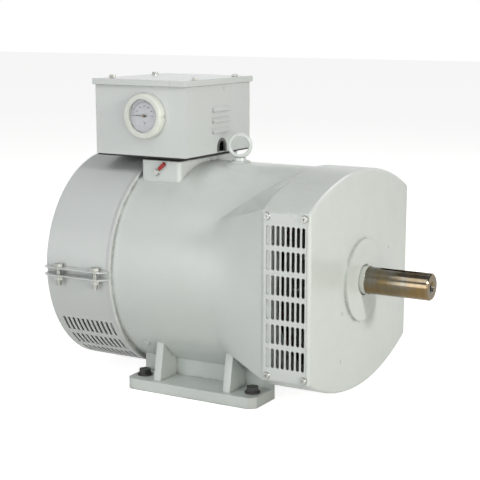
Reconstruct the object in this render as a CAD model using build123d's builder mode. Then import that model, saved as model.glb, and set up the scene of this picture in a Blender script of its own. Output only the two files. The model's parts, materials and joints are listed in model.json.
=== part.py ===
"""Alternator head with a brush-fed rotor, in millimetres: the shaft lies along X and drives at +X."""
import math
import os

from build123d import *

os.makedirs("parts", exist_ok=True)

# Driving sizes: the machine grows from the rotor's bore outwards and stands on its feet.
core_bore_radius = 92.0
core_depth = 58.0
rib_height = 10.0
barrel_wall = 10.0
ground_clearance = 18.0
front_face_x = 227.0
bracket_depth = 79.0
bracket_flat_margin = 9.0
bracket_crown_margin = 2.0
bracket_corner_drop = 43.0
bracket_wall = 8.0
bracket_edge_radius = 5.0
barrel_rear_x = -140.0
rim_width = 12.0
flare_x = 51.0

# Clearances
band_gap = 0.1
seat_gap = 0.05
running_gap = 0.05
screw_gap = 0.25
overcut = 1.0

# Overall places. The origin is the middle of the foot bolts, on the ground plane.
core_outer_radius = core_bore_radius + core_depth
barrel_bore = core_outer_radius + rib_height
barrel_radius = barrel_bore + barrel_wall
shaft_height = barrel_radius + ground_clearance
bracket_half_width = barrel_radius + bracket_flat_margin
bracket_half_height = barrel_radius + bracket_crown_margin
bracket_corner_height = barrel_radius - bracket_corner_drop
frame_front_x = front_face_x - bracket_depth
axis_x = Axis((0, 0, shaft_height), (1, 0, 0))

# Feet
foot_half_length = 118.0
foot_outer_y = 150.0
foot_web_y = 92.0
foot_height = 17.7
foot_wall = 8.5
foot_corner_radius = 14.0
foot_bevel = 10.0
web_thickness = 10.0
web_root = 3.0
web_top_z = shaft_height - math.sqrt(barrel_radius**2 - foot_web_y**2) + web_root
foot_rib_x = 64.0
foot_rib_thickness = 13.0
foot_rib_foot_y = 141.0
foot_rib_side_depth = 41.0
foot_rib_top_depth = 62.0
foot_rib_head_y = barrel_radius - foot_rib_side_depth
foot_rib_head_z = shaft_height - barrel_radius + foot_rib_top_depth
foot_rib_draft = 2.0
foot_bolt_spacing_x = 200.0
foot_bolt_spacing_y = 242.0
foot_bolt_radius = 5.4
foot_thread_radius = 5.85
foot_hole_radius = 7.5
foot_bolt_length = 20.2
foot_bolt_head = 18.0
foot_bolt_head_height = 7.5
foot_washer_radius = 12.0
foot_washer_thickness = 2.5

# Pedestal, eye boss and casting lug
pedestal_x = -84.5
pedestal_length = 73.0
pedestal_width = 184.0
pedestal_rise = 6.0
pedestal_height = barrel_radius + pedestal_rise
pedestal_corner = 6.0
pedestal_opening_length = 38.0
pedestal_opening_width = 96.0
pedestal_opening_root = 20.0
eye_x = 8.0
eye_boss_radius = 17.0
eye_boss_rise = 2.0
eye_boss_height = barrel_radius + eye_boss_rise
eye_boss_root = 10.0
eye_collar_radius = 10.8
eye_collar_height = 5.5
eye_collar_taper = 12.0
eye_ring_radius = 17.0
eye_wire_radius = 3.1
eye_ring_sink = 1.0
eye_line = (0.87, 0.5)
eye_shank_radius = 5.0
eye_shank_length = 11.0
eye_tap_relief = 0.5
lug_x = -92.0
lug_angle = -138.0
lug_radius = 6.0
lug_height = 2.5
lug_root = 5.0

# Stator
core_centre_x = 10.0
core_length = 150.0
core_slots = 36
slot_width = 6.0
slot_depth = 26.0
slot_floor_radius = core_bore_radius + slot_depth
coil_bar_width = 5.0
coil_end_length = 30.0
coil_end_gap = 8.0
coil_end_step = 3.0
coil_end_overhang = 16.0
coil_end_inner = core_bore_radius + coil_end_step
coil_end_outer = slot_floor_radius + coil_end_overhang
coil_end_corner = 10.0
coil_bar_reach = 2.0
coil_bar_gap = 1.0
rib_count = 8
rib_width = 16.0
rib_root = 4.0
rib_middle_radius = barrel_bore - rib_root
rib_front_x = 138.0
rib_rear_x = -128.0

# Shaft and rotor
shaft_end_radius = 21.0
shaft_end_x = 343.0
collar_radius = 22.5
collar_end_x = 240.0
core_seat_radius = 26.0
front_shoulder_radius = 27.0
rear_seat_radius = 17.5
ring_seat_radius = 15.0
shaft_rear_x = -240.0
end_chamfer = 2.0
rear_chamfer = 1.0
rear_seat_overrun = 4.0
core_step = 3.0
core_step_length = 6.0
keyway_width = 12.0
keyway_depth = 5.0
keyway_start_x = 258.0
keyway_length = 70.0
centre_hole_radius = 6.8
centre_hole_depth = 36.0
centre_cone_radius = 9.0
centre_cone_depth = 4.0
centre_tip_depth = 3.0
air_gap = 1.0
pole_count = 4
pole_shoe_depth = 15.0
pole_body_sink = 6.0
field_coil_thickness = 15.0
field_coil_height = 15.5
field_coil_gap = 1.0
field_coil_corner_gap = 13.5
pole_hub_gap = 3.5
rotor_radius = core_bore_radius - air_gap
pole_shoe_inner = rotor_radius - pole_shoe_depth
field_coil_outer = pole_shoe_inner - field_coil_gap
field_coil_inner = field_coil_outer - field_coil_height
pole_hub_radius = field_coil_inner - pole_hub_gap
pole_body_width = 2 * (field_coil_inner - field_coil_thickness - field_coil_corner_gap)
field_coil_clearance = 0.6

# Bearings
front_bearing_x = 190.0
front_bearing_width = 25.0
front_bearing_outer = 50.0
front_ball_radius = 8.7
rear_bearing_x = -193.0
rear_bearing_width = 21.0
rear_bearing_outer = 40.0
rear_ball_radius = 6.75
ball_count = 8
race_land = 0.72
cage_gap = 0.2
cage_overhang = 1.2
cage_share = 0.45

# Bracket boss and the inner bearing cap
boss_radius = 64.7
boss_height = 5.0
shaft_gap = 1.0
boss_bore = collar_radius + shaft_gap
boss_bore_flare = 8.0
hub_inset = 2.0
hub_radius = boss_radius - hub_inset
hub_lip = 2.0
hub_rear_x = front_bearing_x - hub_lip
hub_rib_count = 8
hub_rib_root = 55.0
hub_rib_thickness = 8.0
hub_rib_shortfall = 6.0
cap_thickness = 7.0
cap_shaft_gap = 2.0
cap_bore = front_shoulder_radius + cap_shaft_gap
cap_lip_width = 8.0
cap_lip_gap = 0.2
cap_screw_offset = 7.0
cap_screw_circle = front_bearing_outer + cap_screw_offset
cap_screw_radius = 3.0
cap_screw_count = 3
cap_screw_reach = 12.0
cap_tap_depth = 14.0
cap_head_width = 9.5
cap_head_height = 3.0

# Grilles on the flats
grille_thickness = 1.5
grille_end_margin = 2.0
grille_half_height = bracket_corner_height - grille_end_margin
grille_rear_margin = 3.0
grille_front_margin = 6.0
grille_corner = 2.0
grille_columns = 8
grille_rows = 6
grille_column_pitch = 8.27
grille_slot_width = 5.4
grille_slot_length = 29.4
grille_middle_x = 187.3
grille_screw_x = 30.3
grille_screw_inset = 6.0
grille_screw_z = grille_half_height - grille_screw_inset
grille_screw_radius = 2.2
grille_screw_length = 7.0
grille_tap_depth = 7.5
grille_head_radius = 5.8
grille_head_height = 2.6
grille_head_taper = 25.0
cross_length = 5.2
cross_width = 1.3
cross_depth = 1.4
window_front_margin = 8.0
window_rear_margin = 15.0
window_end_inset = 15.0
window_half_height = grille_half_height - window_end_inset
grille_row_margin = 3.8
grille_row_span = 2 * (window_half_height - grille_row_margin) - grille_slot_length
grille_row_pitch = grille_row_span / (grille_rows - 1)

# Fan
fan_x = 150.0
fan_plate_thickness = 3.0
fan_blade_width = 24.0
fan_outer_radius = 118.0
fan_blade_inner = 68.0
fan_hub_radius = 42.0
fan_hub_length = 20.0
fan_blades = 12
fan_blade_thickness = 3.0
fan_blade_sink = 1.0

# Rear bracket
spider_flange_thickness = 10.0
spider_flange_depth = 10.0
spider_flange_inner = core_outer_radius - spider_flange_depth
spigot_depth = 6.0
spigot_wall = 15.0
spigot_bore = barrel_bore - spigot_wall
hub_rib_middle = (hub_rib_root + spigot_bore) / 2
hub_rib_length = spigot_bore - hub_rib_root
spigot_clearance = 0.1
spider_hub_radius = 50.0
spider_hub_front_x = -162.0
spider_arm_count = 4
spider_arm_width = 14.0
spider_arm_root = 4.0
spider_arm_foot_x = 6.0
spider_arm_foot_drop = 14.0
spider_arm_hub_x = 8.0
spider_bore = 24.5
spider_lip = 2.0
cover_post_circle = 112.0
cover_post_radius = 7.0
cover_tap_depth = 16.0
tie_rod_circle = (core_outer_radius + barrel_bore) / 2
tie_rod_radius = 4.0
tie_rod_count = 4
tie_rod_angle = 45.0
tie_rod_tail = 3.0
tie_rod_shortfall = 0.5
tie_nut_width = 13.0
tie_nut_height = 6.5

# Shroud and rear cover
shroud_step = 6.0
shroud_radius = barrel_radius + shroud_step
shroud_thickness = 1.5
shroud_front_x = -126.5
shroud_rear_x = -251.0
shroud_hem_width = 4.0
shroud_hem_height = 1.2
lip_gap = 10.0
lip_depth = 17.0
lip_thickness = 2.0
lip_bevel = 9.0
lip_margin = 2.0
lip_root_gap = 0.3
clamp_bolt_x = (-219.5, -148.5)
clamp_bolt_radius = 4.0
clamp_offset = 9.5
clamp_bolt_tail = 9.0
clamp_head_width = 13.0
clamp_head_height = 5.5
vent_columns = 11
vent_column_pitch = 9.35
vent_middle_x = -188.3
vent_rows = 10
vent_first_angle = 32.5
vent_row_pitch = 12.78
vent_width = 4.6
vent_length = 29.0
vent_cut = 4.0
cover_thickness = 1.5
cover_rim_depth = 12.0
cover_vents = 12
cover_vent_circle = 80.0
cover_vent_length = 34.0
cover_vent_width = 7.0
cover_vent_angle = 15.0
cover_screw_radius = 3.0
cover_screw_length = 14.0
cover_head_width = 11.0
cover_head_height = 4.0
strip_height = 26.0

# Slip rings and brushes
sleeve_radius = 22.0
sleeve_front_x = -199.0
sleeve_rear_x = -238.0
slip_ring_radius = 30.0
slip_ring_width = 11.0
slip_ring_x = (-207.5, -226.5)
brush_length_x = 8.0
brush_width_y = 14.0
brush_height = 26.0
brush_gap = 0.3
holder_wall = 2.5
holder_height = 44.0
holder_base_gap = 5.0
spring_coils = 5
spring_wire = 0.5
spring_radius = 2.6
holder_clearance = 0.25
holder_foot_height = 43.0
holder_foot_width = 10.0
holder_foot_length = 44.0
holder_foot_step = 1.0
holder_screw_spacing = 32.0
holder_screw_radius = 2.0
holder_screw_length = 14.0
holder_head_radius = 3.5
holder_head_height = 3.0
holder_hole_depth = 12.0

# Terminal box
box_x = -116.5
box_length = 170.3
box_width = 201.0
box_stand = 6.8
box_height = 119.8
box_floor_z = shaft_height + pedestal_height + box_stand
box_top_z = box_floor_z + box_height
box_sheet = 1.5
box_flange = 14.0
lid_lip = 9.3
lid_overhang = 3.6
gasket_thickness = 2.0
gasket_width = 10.0
gasket_inset = 1.0
lid_screw_inset_x = 6.15
lid_screw_inset_y = 38.5
lid_screw_x = box_length / 2 - lid_screw_inset_x
lid_screw_y = box_width / 2 - lid_screw_inset_y
lid_screw_radius = 2.5
lid_head_width = 10.0
lid_head_height = 4.0
lid_screw_length = 12.0
box_opening_length = 32.0
box_opening_width = 84.0
pad_offset_x = 27.0
pad_offset_y = 70.0
pad_radius = 9.0
mat_thickness = 2.6
mat_inset = 1.5
mat_hole_radius = 6.0
box_screw_radius = 4.0
box_head_width = 13.0
box_head_height = 5.5
box_screw_reach = 14.0
box_tap_depth = 16.0
louvre_count = 3
louvre_y = 5.0
louvre_width = 52.0
louvre_pitch = 17.25
louvre_first_rise = 33.0
louvre_first_z = box_floor_z + louvre_first_rise
louvre_height = 9.0
louvre_depth = 5.0
louvre_wall = 1.2
louvre_root = 0.5
louvre_drop = 1.5
notch_y = 9.0
notch_width = 24.0
notch_height = 21.0
trim_wall = 2.2

# Voltmeter
meter_offset_x = 11.5
meter_rise = 63.7
meter_x = box_x + meter_offset_x
meter_z = box_floor_z + meter_rise
meter_radius = 36.0
meter_window = 26.5
meter_depth = 12.0
meter_edge_radius = 4.0
meter_key_depth = 3.0
meter_key_width = 4.0
meter_recess = 9.0
glass_depth = 3.6
meter_body_radius = 28.0
meter_body_depth = 34.0
dial_thickness = 1.0
dial_hole_gap = 0.4
pointer_length = 22.0
pointer_tail = 6.0
pointer_width = 1.2
pointer_hub_radius = 2.5
pointer_gap = 1.0
pointer_thickness = 0.6
pivot_radius = 0.9
pivot_depth = 3.0
pivot_socket_depth = 3.5
glass_thickness = 1.2
lock_ring_width = 6.0
lock_ring_height = 5.0

# Wiring inside the box
board_length = 34.0
board_width = 120.0
board_height = 12.0
board_gap = 4.5
board_corner = 3.0
board_floor = 3.0
stud_count = 5
stud_pitch = 22.0
stud_radius = 2.5
stud_height = 16.0
nut_width = 8.0
nut_height = 4.0
rectifier_size = 32.0
rectifier_height = 10.0
rectifier_screw_tail = 2.0
rectifier_inset = 23.65
rectifier_x = box_x - box_length / 2 + rectifier_inset

# Earth terminal
earth_offset_x = 7.5
earth_drop = 19.0
earth_x = pedestal_x - earth_offset_x
earth_z = shaft_height + pedestal_height - earth_drop
earth_screw_radius = 2.5
earth_screw_length = 9.0
earth_tap_depth = 10.0
earth_head_radius = 5.4
earth_head_height = 3.0
earth_head_taper = 20.0
earth_lug_radius = 6.5
earth_lug_thickness = 1.0
earth_sleeve_radius = 2.9
earth_sleeve_length = 14.0
earth_sleeve_wall = 1.0
earth_sleeve_start = 2.2
earth_wire_radius = 1.8
earth_neck_start = 0.5
earth_neck_length = 2.4
earth_neck_width = 3.0
earth_neck_rise = 1.0
earth_lug_angle = 42.0


rim_radius = shroud_radius - shroud_thickness - band_gap


def section(x):
    """Plane across the shaft at x, with its own x along Y and its own y along Z."""
    return Plane(origin=(x, 0, shaft_height), x_dir=(0, 1, 0), z_dir=(1, 0, 0))


def side(y):
    """Plane along the shaft at y, seen from -Y, with its own x along X and its own y along Z."""
    return Plane(origin=(0, y, 0), x_dir=(1, 0, 0), z_dir=(0, -1, 0))


def level(z):
    """Level plane at z."""
    return Plane.XY.offset(z)


def half_profile():
    """Plane through the shaft axis for turned pieces, with its own y as the radius."""
    return Plane(origin=(0, 0, shaft_height), x_dir=(1, 0, 0), z_dir=(0, -1, 0))


def turned(points):
    """Sketch of a turned piece's half profile from (x, radius) corners."""
    with BuildSketch(Plane.XY) as profile:
        with BuildLine():
            Polyline(*points, close=True)
        make_face()
    return profile.sketch


def ring_profile(x_low, x_high, inner, outer):
    """Half profile of a plain ring."""
    return turned([(x_low, inner), (x_high, inner), (x_high, outer), (x_low, outer)])


def rounded_square(inset=0.0):
    """Outline of the drive end: two upright flats joined by shallow arcs above and below."""
    rise = bracket_half_height - bracket_corner_height
    arc = (bracket_half_width**2 + rise**2) / (2 * rise)
    arc_centre = bracket_half_height - arc
    width = bracket_half_width - inset
    crown = bracket_half_height - inset
    corner = arc_centre + math.sqrt((arc - inset) ** 2 - width**2)
    with BuildSketch(Plane.XY) as outline:
        with BuildLine():
            Line((-width, -corner), (-width, corner))
            ThreePointArc((-width, corner), (0, crown), (width, corner))
            Line((width, corner), (width, -corner))
            ThreePointArc((width, -corner), (0, -crown), (-width, -corner))
        make_face()
    return outline.sketch


def flare_root():
    """Where the flare leaves the barrel: flush at the sides, sunk above and below."""
    share = barrel_radius / math.hypot(bracket_half_width, bracket_corner_height)
    width = share * bracket_half_width
    corner = share * bracket_corner_height
    crown = share * bracket_half_height
    with BuildSketch(Plane.XY) as outline:
        with BuildLine():
            ThreePointArc((-width, -corner), (-barrel_radius, 0), (-width, corner))
            ThreePointArc((-width, corner), (0, crown), (width, corner))
            ThreePointArc((width, corner), (barrel_radius, 0), (width, -corner))
            ThreePointArc((width, -corner), (0, -crown), (-width, -corner))
        make_face()
    return outline.sketch


def hexagon(across_flats):
    """Hexagon by its width across flats."""
    return RegularPolygon(radius=across_flats / 2, side_count=6, major_radius=False)


def foot_outline(inset, side_sign):
    """Plan of one foot rail, rounded at its rear outer corner and bevelled at its front one."""
    inner = foot_web_y - web_thickness + inset
    outer = foot_outer_y - inset
    half = foot_half_length - inset
    with BuildSketch(Plane.XY) as plan:
        with Locations((0, side_sign * (inner + outer) / 2)):
            Rectangle(2 * half, outer - inner)
        outer_corners = plan.vertices().sort_by(Axis.Y)
        outer_corners = outer_corners[-2:] if side_sign > 0 else outer_corners[:2]
        outer_corners = outer_corners.sort_by(Axis.X)
        fillet(outer_corners[0], foot_corner_radius - inset)
        outer_corners = plan.vertices().sort_by(Axis.Y)
        outer_corners = outer_corners[-2:] if side_sign > 0 else outer_corners[:2]
        chamfer(outer_corners.sort_by(Axis.X)[-1], foot_bevel - inset * 0.6)
    return plan.sketch


# Frame: barrel, flared drive end, rear rim, feet, pedestal and eye boss in one casting.
foot_hole_places = GridLocations(foot_bolt_spacing_x, foot_bolt_spacing_y, 2, 2)
with BuildPart() as frame:
    with BuildSketch(section(barrel_rear_x)):
        Circle(barrel_radius)
    extrude(amount=frame_front_x - barrel_rear_x)
    with BuildSketch(section(barrel_rear_x)):
        Circle(rim_radius)
    extrude(amount=rim_width)
    with BuildSketch(section(flare_x)):
        add(flare_root())
    with BuildSketch(section(frame_front_x)):
        add(rounded_square())
    loft(ruled=True)
    for side_sign in (-1, 1):
        with BuildSketch(Plane.XY):
            add(foot_outline(0, side_sign))
        extrude(amount=foot_height)
        with BuildSketch(Plane.XY):
            with Locations((0, side_sign * (foot_web_y - web_thickness / 2))):
                Rectangle(2 * foot_half_length, web_thickness)
        extrude(amount=web_top_z)
        for rib_x in (-foot_rib_x, foot_rib_x):
            with BuildSketch(Plane(origin=(rib_x, 0, 0), x_dir=(0, 1, 0), z_dir=(1, 0, 0))):
                with BuildLine():
                    Polyline(
                        (side_sign * foot_rib_foot_y, foot_height - overcut),
                        (side_sign * foot_rib_head_y, foot_rib_head_z),
                        (side_sign * (foot_web_y - web_thickness / 2), foot_rib_head_z),
                        (side_sign * (foot_web_y - web_thickness / 2), foot_height - overcut),
                        close=True,
                    )
                make_face()
            extrude(amount=foot_rib_thickness / 2, both=True, taper=foot_rib_draft)
    with BuildSketch(level(shaft_height + barrel_radius / 2)):
        with Locations((pedestal_x, 0)):
            RectangleRounded(pedestal_length, pedestal_width, pedestal_corner)
    extrude(amount=pedestal_height - barrel_radius / 2)
    with BuildSketch(level(shaft_height + barrel_radius - eye_boss_root)):
        with Locations((eye_x, 0)):
            Circle(eye_boss_radius)
    extrude(amount=eye_boss_height - barrel_radius + eye_boss_root)
    with BuildSketch(
        Plane(
            origin=(
                lug_x,
                (barrel_radius + lug_height) * math.cos(math.radians(lug_angle)),
                shaft_height + (barrel_radius + lug_height) * math.sin(math.radians(lug_angle)),
            ),
            x_dir=(1, 0, 0),
            z_dir=(0, -math.cos(math.radians(lug_angle)), -math.sin(math.radians(lug_angle))),
        )
    ):
        Circle(lug_radius)
    extrude(amount=lug_height + lug_root)
    with BuildSketch(section(barrel_rear_x - overcut)):
        Circle(barrel_bore)
    extrude(amount=frame_front_x - barrel_rear_x + 2 * overcut, mode=Mode.SUBTRACT)
    with BuildSketch(section(rib_rear_x)):
        with PolarLocations(rib_middle_radius, rib_count, start_angle=180 / rib_count):
            Rectangle(2 * (barrel_bore - core_outer_radius), rib_width)
    extrude(amount=rib_front_x - rib_rear_x)
    with BuildSketch(section(barrel_rear_x)):
        Circle(core_outer_radius + seat_gap)
    extrude(amount=frame_front_x - barrel_rear_x, mode=Mode.SUBTRACT)
    with BuildSketch(level(shaft_height + barrel_bore - pedestal_opening_root)):
        with Locations((pedestal_x, 0)):
            Rectangle(pedestal_opening_length, pedestal_opening_width)
    extrude(amount=pedestal_height - barrel_bore + pedestal_opening_root + overcut, mode=Mode.SUBTRACT)
    for side_sign in (-1, 1):
        with BuildSketch(Plane.XY):
            add(foot_outline(foot_wall, side_sign))
        extrude(amount=foot_height - foot_wall, mode=Mode.SUBTRACT)
    with BuildSketch(Plane.XY):
        with foot_hole_places:
            Circle(foot_hole_radius)
    extrude(amount=foot_height, mode=Mode.SUBTRACT)
    with BuildSketch(level(shaft_height + eye_boss_height)):
        with Locations((eye_x, 0)):
            Circle(eye_shank_radius + seat_gap)
    extrude(amount=-eye_shank_length - eye_tap_relief, mode=Mode.SUBTRACT)
    with BuildSketch(level(shaft_height + pedestal_height)):
        with Locations((pedestal_x, 0)):
            with GridLocations(2 * pad_offset_x, 2 * pad_offset_y, 2, 2):
                Circle(box_screw_radius + seat_gap)
    extrude(amount=-box_tap_depth, mode=Mode.SUBTRACT)
    with BuildSketch(side(-pedestal_width / 2)):
        with Locations((earth_x, earth_z)):
            Circle(earth_screw_radius + seat_gap)
    extrude(amount=-earth_tap_depth, mode=Mode.SUBTRACT)
frame.part.label = "frame"
export_step(frame.part, "parts/frame.step")

# Foot bolts stand in the foot holes, their threads hanging in the hollow rails.
foot_bolt_seat_z = foot_height + foot_washer_thickness
with BuildPart() as foot_bolts:
    with BuildSketch(level(foot_bolt_seat_z)):
        with foot_hole_places:
            hexagon(foot_bolt_head)
    extrude(amount=foot_bolt_head_height)
    with BuildSketch(level(foot_height - foot_wall)):
        with foot_hole_places:
            Circle(foot_bolt_radius)
    extrude(amount=foot_wall + foot_washer_thickness)
    with BuildSketch(level(foot_bolt_seat_z - foot_bolt_length)):
        with foot_hole_places:
            Circle(foot_thread_radius)
    extrude(amount=foot_bolt_length - foot_wall - foot_washer_thickness)
foot_bolts.part.label = "foot_bolts"
export_step(foot_bolts.part, "parts/foot_bolts.step")

with BuildPart() as foot_washers:
    with BuildSketch(level(foot_height)):
        with foot_hole_places:
            Circle(foot_washer_radius)
            Circle(foot_bolt_radius + screw_gap, mode=Mode.SUBTRACT)
    extrude(amount=foot_washer_thickness)
foot_washers.part.label = "foot_washers"
export_step(foot_washers.part, "parts/foot_washers.step")

# Lifting eye, turned half way round from the shaft line.
eye_base_z = shaft_height + eye_boss_height
eye_ring_z = eye_base_z + eye_collar_height + eye_ring_radius + eye_wire_radius - eye_ring_sink
with BuildPart() as lifting_eye:
    with BuildSketch(level(eye_base_z - eye_shank_length)):
        with Locations((eye_x, 0)):
            Circle(eye_shank_radius)
    extrude(amount=eye_shank_length)
    with BuildSketch(level(eye_base_z)):
        with Locations((eye_x, 0)):
            Circle(eye_collar_radius)
    extrude(amount=eye_collar_height, taper=eye_collar_taper)
    with BuildSketch(Plane(origin=(eye_x, 0, eye_ring_z), x_dir=(*eye_line, 0), z_dir=(0, 0, 1))):
        with Locations((eye_ring_radius, 0)):
            Circle(eye_wire_radius)
    revolve(axis=Axis((eye_x, 0, eye_ring_z), (eye_line[1], -eye_line[0], 0)))
lifting_eye.part.label = "lifting_eye"
export_step(lifting_eye.part, "parts/lifting_eye.step")

# Drive-end bracket: a rounded-square drum with a boss outside and the bearing hub inside.
face_inner_x = front_face_x - bracket_wall
front_bearing_end_x = front_bearing_x + front_bearing_width
window_low_x = frame_front_x + window_rear_margin
window_high_x = face_inner_x - window_front_margin + bracket_wall
tie_rod_places = PolarLocations(tie_rod_circle, tie_rod_count, start_angle=tie_rod_angle)
with BuildPart() as drive_end_bracket:
    with BuildSketch(section(frame_front_x)):
        add(rounded_square())
    extrude(amount=bracket_depth)
    fillet(drive_end_bracket.faces().sort_by(Axis.X)[-1].edges(), bracket_edge_radius)
    with BuildSketch(section(frame_front_x + bracket_wall)):
        add(rounded_square(inset=bracket_wall))
    extrude(amount=bracket_depth - 2 * bracket_wall, mode=Mode.SUBTRACT)
    with BuildSketch(section(frame_front_x)):
        Circle(spigot_bore)
    extrude(amount=bracket_wall, mode=Mode.SUBTRACT)
    with BuildSketch(section(frame_front_x - spigot_depth)):
        Circle(barrel_bore - spigot_clearance)
        Circle(spigot_bore, mode=Mode.SUBTRACT)
    extrude(amount=spigot_depth)
    with BuildSketch(half_profile()):
        add(ring_profile(hub_rear_x, front_face_x, 0, hub_radius))
        add(ring_profile(front_face_x - overcut, front_face_x + boss_height, 0, boss_radius))
    revolve(axis=axis_x)
    with BuildSketch(section(face_inner_x)):
        with PolarLocations(hub_rib_middle, hub_rib_count, start_angle=180 / hub_rib_count):
            Rectangle(hub_rib_length, hub_rib_thickness)
    extrude(amount=hub_rear_x - face_inner_x + hub_rib_shortfall)
    with BuildSketch(half_profile()):
        add(
            turned(
                [
                    (hub_rear_x - overcut, 0),
                    (front_face_x + boss_height + overcut, 0),
                    (front_face_x + boss_height + overcut, boss_bore),
                    (front_bearing_end_x, boss_bore + boss_bore_flare),
                    (front_bearing_end_x, front_bearing_outer + seat_gap),
                    (hub_rear_x - overcut, front_bearing_outer + seat_gap),
                ]
            )
        )
    revolve(axis=axis_x, mode=Mode.SUBTRACT)
    for side_sign in (-1, 1):
        with BuildSketch(side(side_sign * (bracket_half_width + overcut))):
            with Locations(((window_low_x + window_high_x) / 2, shaft_height)):
                Rectangle(window_high_x - window_low_x, 2 * window_half_height)
        extrude(amount=side_sign * (bracket_wall + 2 * overcut), mode=Mode.SUBTRACT)
        with BuildSketch(side(side_sign * (bracket_half_width + overcut))):
            with Locations((grille_middle_x, shaft_height)):
                with GridLocations(2 * grille_screw_x, 2 * grille_screw_z, 2, 2):
                    Circle(grille_screw_radius + seat_gap)
        extrude(amount=side_sign * grille_tap_depth, mode=Mode.SUBTRACT)
    with BuildSketch(section(frame_front_x - spigot_depth)):
        with tie_rod_places:
            Circle(tie_rod_radius + seat_gap)
    extrude(amount=spigot_depth + bracket_wall, mode=Mode.SUBTRACT)
    with BuildSketch(section(hub_rear_x)):
        with PolarLocations(cap_screw_circle, cap_screw_count, start_angle=90):
            Circle(cap_screw_radius + seat_gap)
    extrude(amount=cap_tap_depth, mode=Mode.SUBTRACT)
drive_end_bracket.part.label = "drive_end_bracket"
export_step(drive_end_bracket.part, "parts/drive_end_bracket.step")

# Perforated grilles over the flats, and their screws.
grille_low_x = frame_front_x + grille_rear_margin
grille_high_x = front_face_x - grille_front_margin


def make_grille(side_sign):
    """One perforated plate on the flat at side_sign."""
    outward = -side_sign
    with BuildPart() as grille:
        with BuildSketch(side(side_sign * (bracket_half_width + seat_gap))):
            with Locations(((grille_low_x + grille_high_x) / 2, shaft_height)):
                RectangleRounded(grille_high_x - grille_low_x, 2 * grille_half_height, grille_corner)
            with Locations((grille_middle_x, shaft_height)):
                with GridLocations(grille_column_pitch, grille_row_pitch, grille_columns, grille_rows):
                    SlotOverall(grille_slot_length, grille_slot_width, rotation=90, mode=Mode.SUBTRACT)
                with GridLocations(2 * grille_screw_x, 2 * grille_screw_z, 2, 2):
                    Circle(grille_screw_radius + screw_gap, mode=Mode.SUBTRACT)
        extrude(amount=outward * grille_thickness)
    return grille.part


grille_left = make_grille(-1)
grille_left.label = "grille_left"
export_step(grille_left, "parts/grille_left.step")
grille_right = make_grille(1)
grille_right.label = "grille_right"
export_step(grille_right, "parts/grille_right.step")

with BuildPart() as grille_screws:
    for side_sign in (-1, 1):
        head_y = side_sign * (bracket_half_width + seat_gap + grille_thickness)
        with BuildSketch(side(head_y)):
            with Locations((grille_middle_x, shaft_height)):
                with GridLocations(2 * grille_screw_x, 2 * grille_screw_z, 2, 2):
                    Circle(grille_head_radius)
        extrude(amount=-side_sign * grille_head_height, taper=grille_head_taper)
        with BuildSketch(side(head_y + side_sign * grille_head_height)):
            with Locations((grille_middle_x, shaft_height)):
                with GridLocations(2 * grille_screw_x, 2 * grille_screw_z, 2, 2):
                    Rectangle(cross_length, cross_width)
                    Rectangle(cross_width, cross_length)
        extrude(amount=side_sign * cross_depth, mode=Mode.SUBTRACT)
        with BuildSketch(side(head_y)):
            with Locations((grille_middle_x, shaft_height)):
                with GridLocations(2 * grille_screw_x, 2 * grille_screw_z, 2, 2):
                    Circle(grille_screw_radius)
        extrude(amount=side_sign * grille_screw_length)
grille_screws.part.label = "grille_screws"
export_step(grille_screws.part, "parts/grille_screws.step")

# Inner bearing cap and its screws.
with BuildPart() as front_bearing_cap:
    with BuildSketch(half_profile()):
        add(ring_profile(hub_rear_x - cap_thickness, hub_rear_x, cap_bore, hub_radius))
        add(
            ring_profile(
                hub_rear_x - overcut,
                front_bearing_x,
                front_bearing_outer - cap_lip_width,
                front_bearing_outer - cap_lip_gap,
            )
        )
    revolve(axis=axis_x)
    with BuildSketch(section(hub_rear_x - cap_thickness)):
        with PolarLocations(cap_screw_circle, cap_screw_count, start_angle=90):
            Circle(cap_screw_radius + screw_gap)
    extrude(amount=cap_thickness + overcut, mode=Mode.SUBTRACT)
front_bearing_cap.part.label = "front_bearing_cap"
export_step(front_bearing_cap.part, "parts/front_bearing_cap.step")

with BuildPart() as bearing_cap_screws:
    with BuildSketch(section(hub_rear_x - cap_thickness)):
        with PolarLocations(cap_screw_circle, cap_screw_count, start_angle=90):
            hexagon(cap_head_width)
    extrude(amount=-cap_head_height)
    with BuildSketch(section(hub_rear_x - cap_thickness)):
        with PolarLocations(cap_screw_circle, cap_screw_count, start_angle=90):
            Circle(cap_screw_radius)
    extrude(amount=cap_thickness + cap_screw_reach)
bearing_cap_screws.part.label = "bearing_cap_screws"
export_step(bearing_cap_screws.part, "parts/bearing_cap_screws.step")


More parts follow.
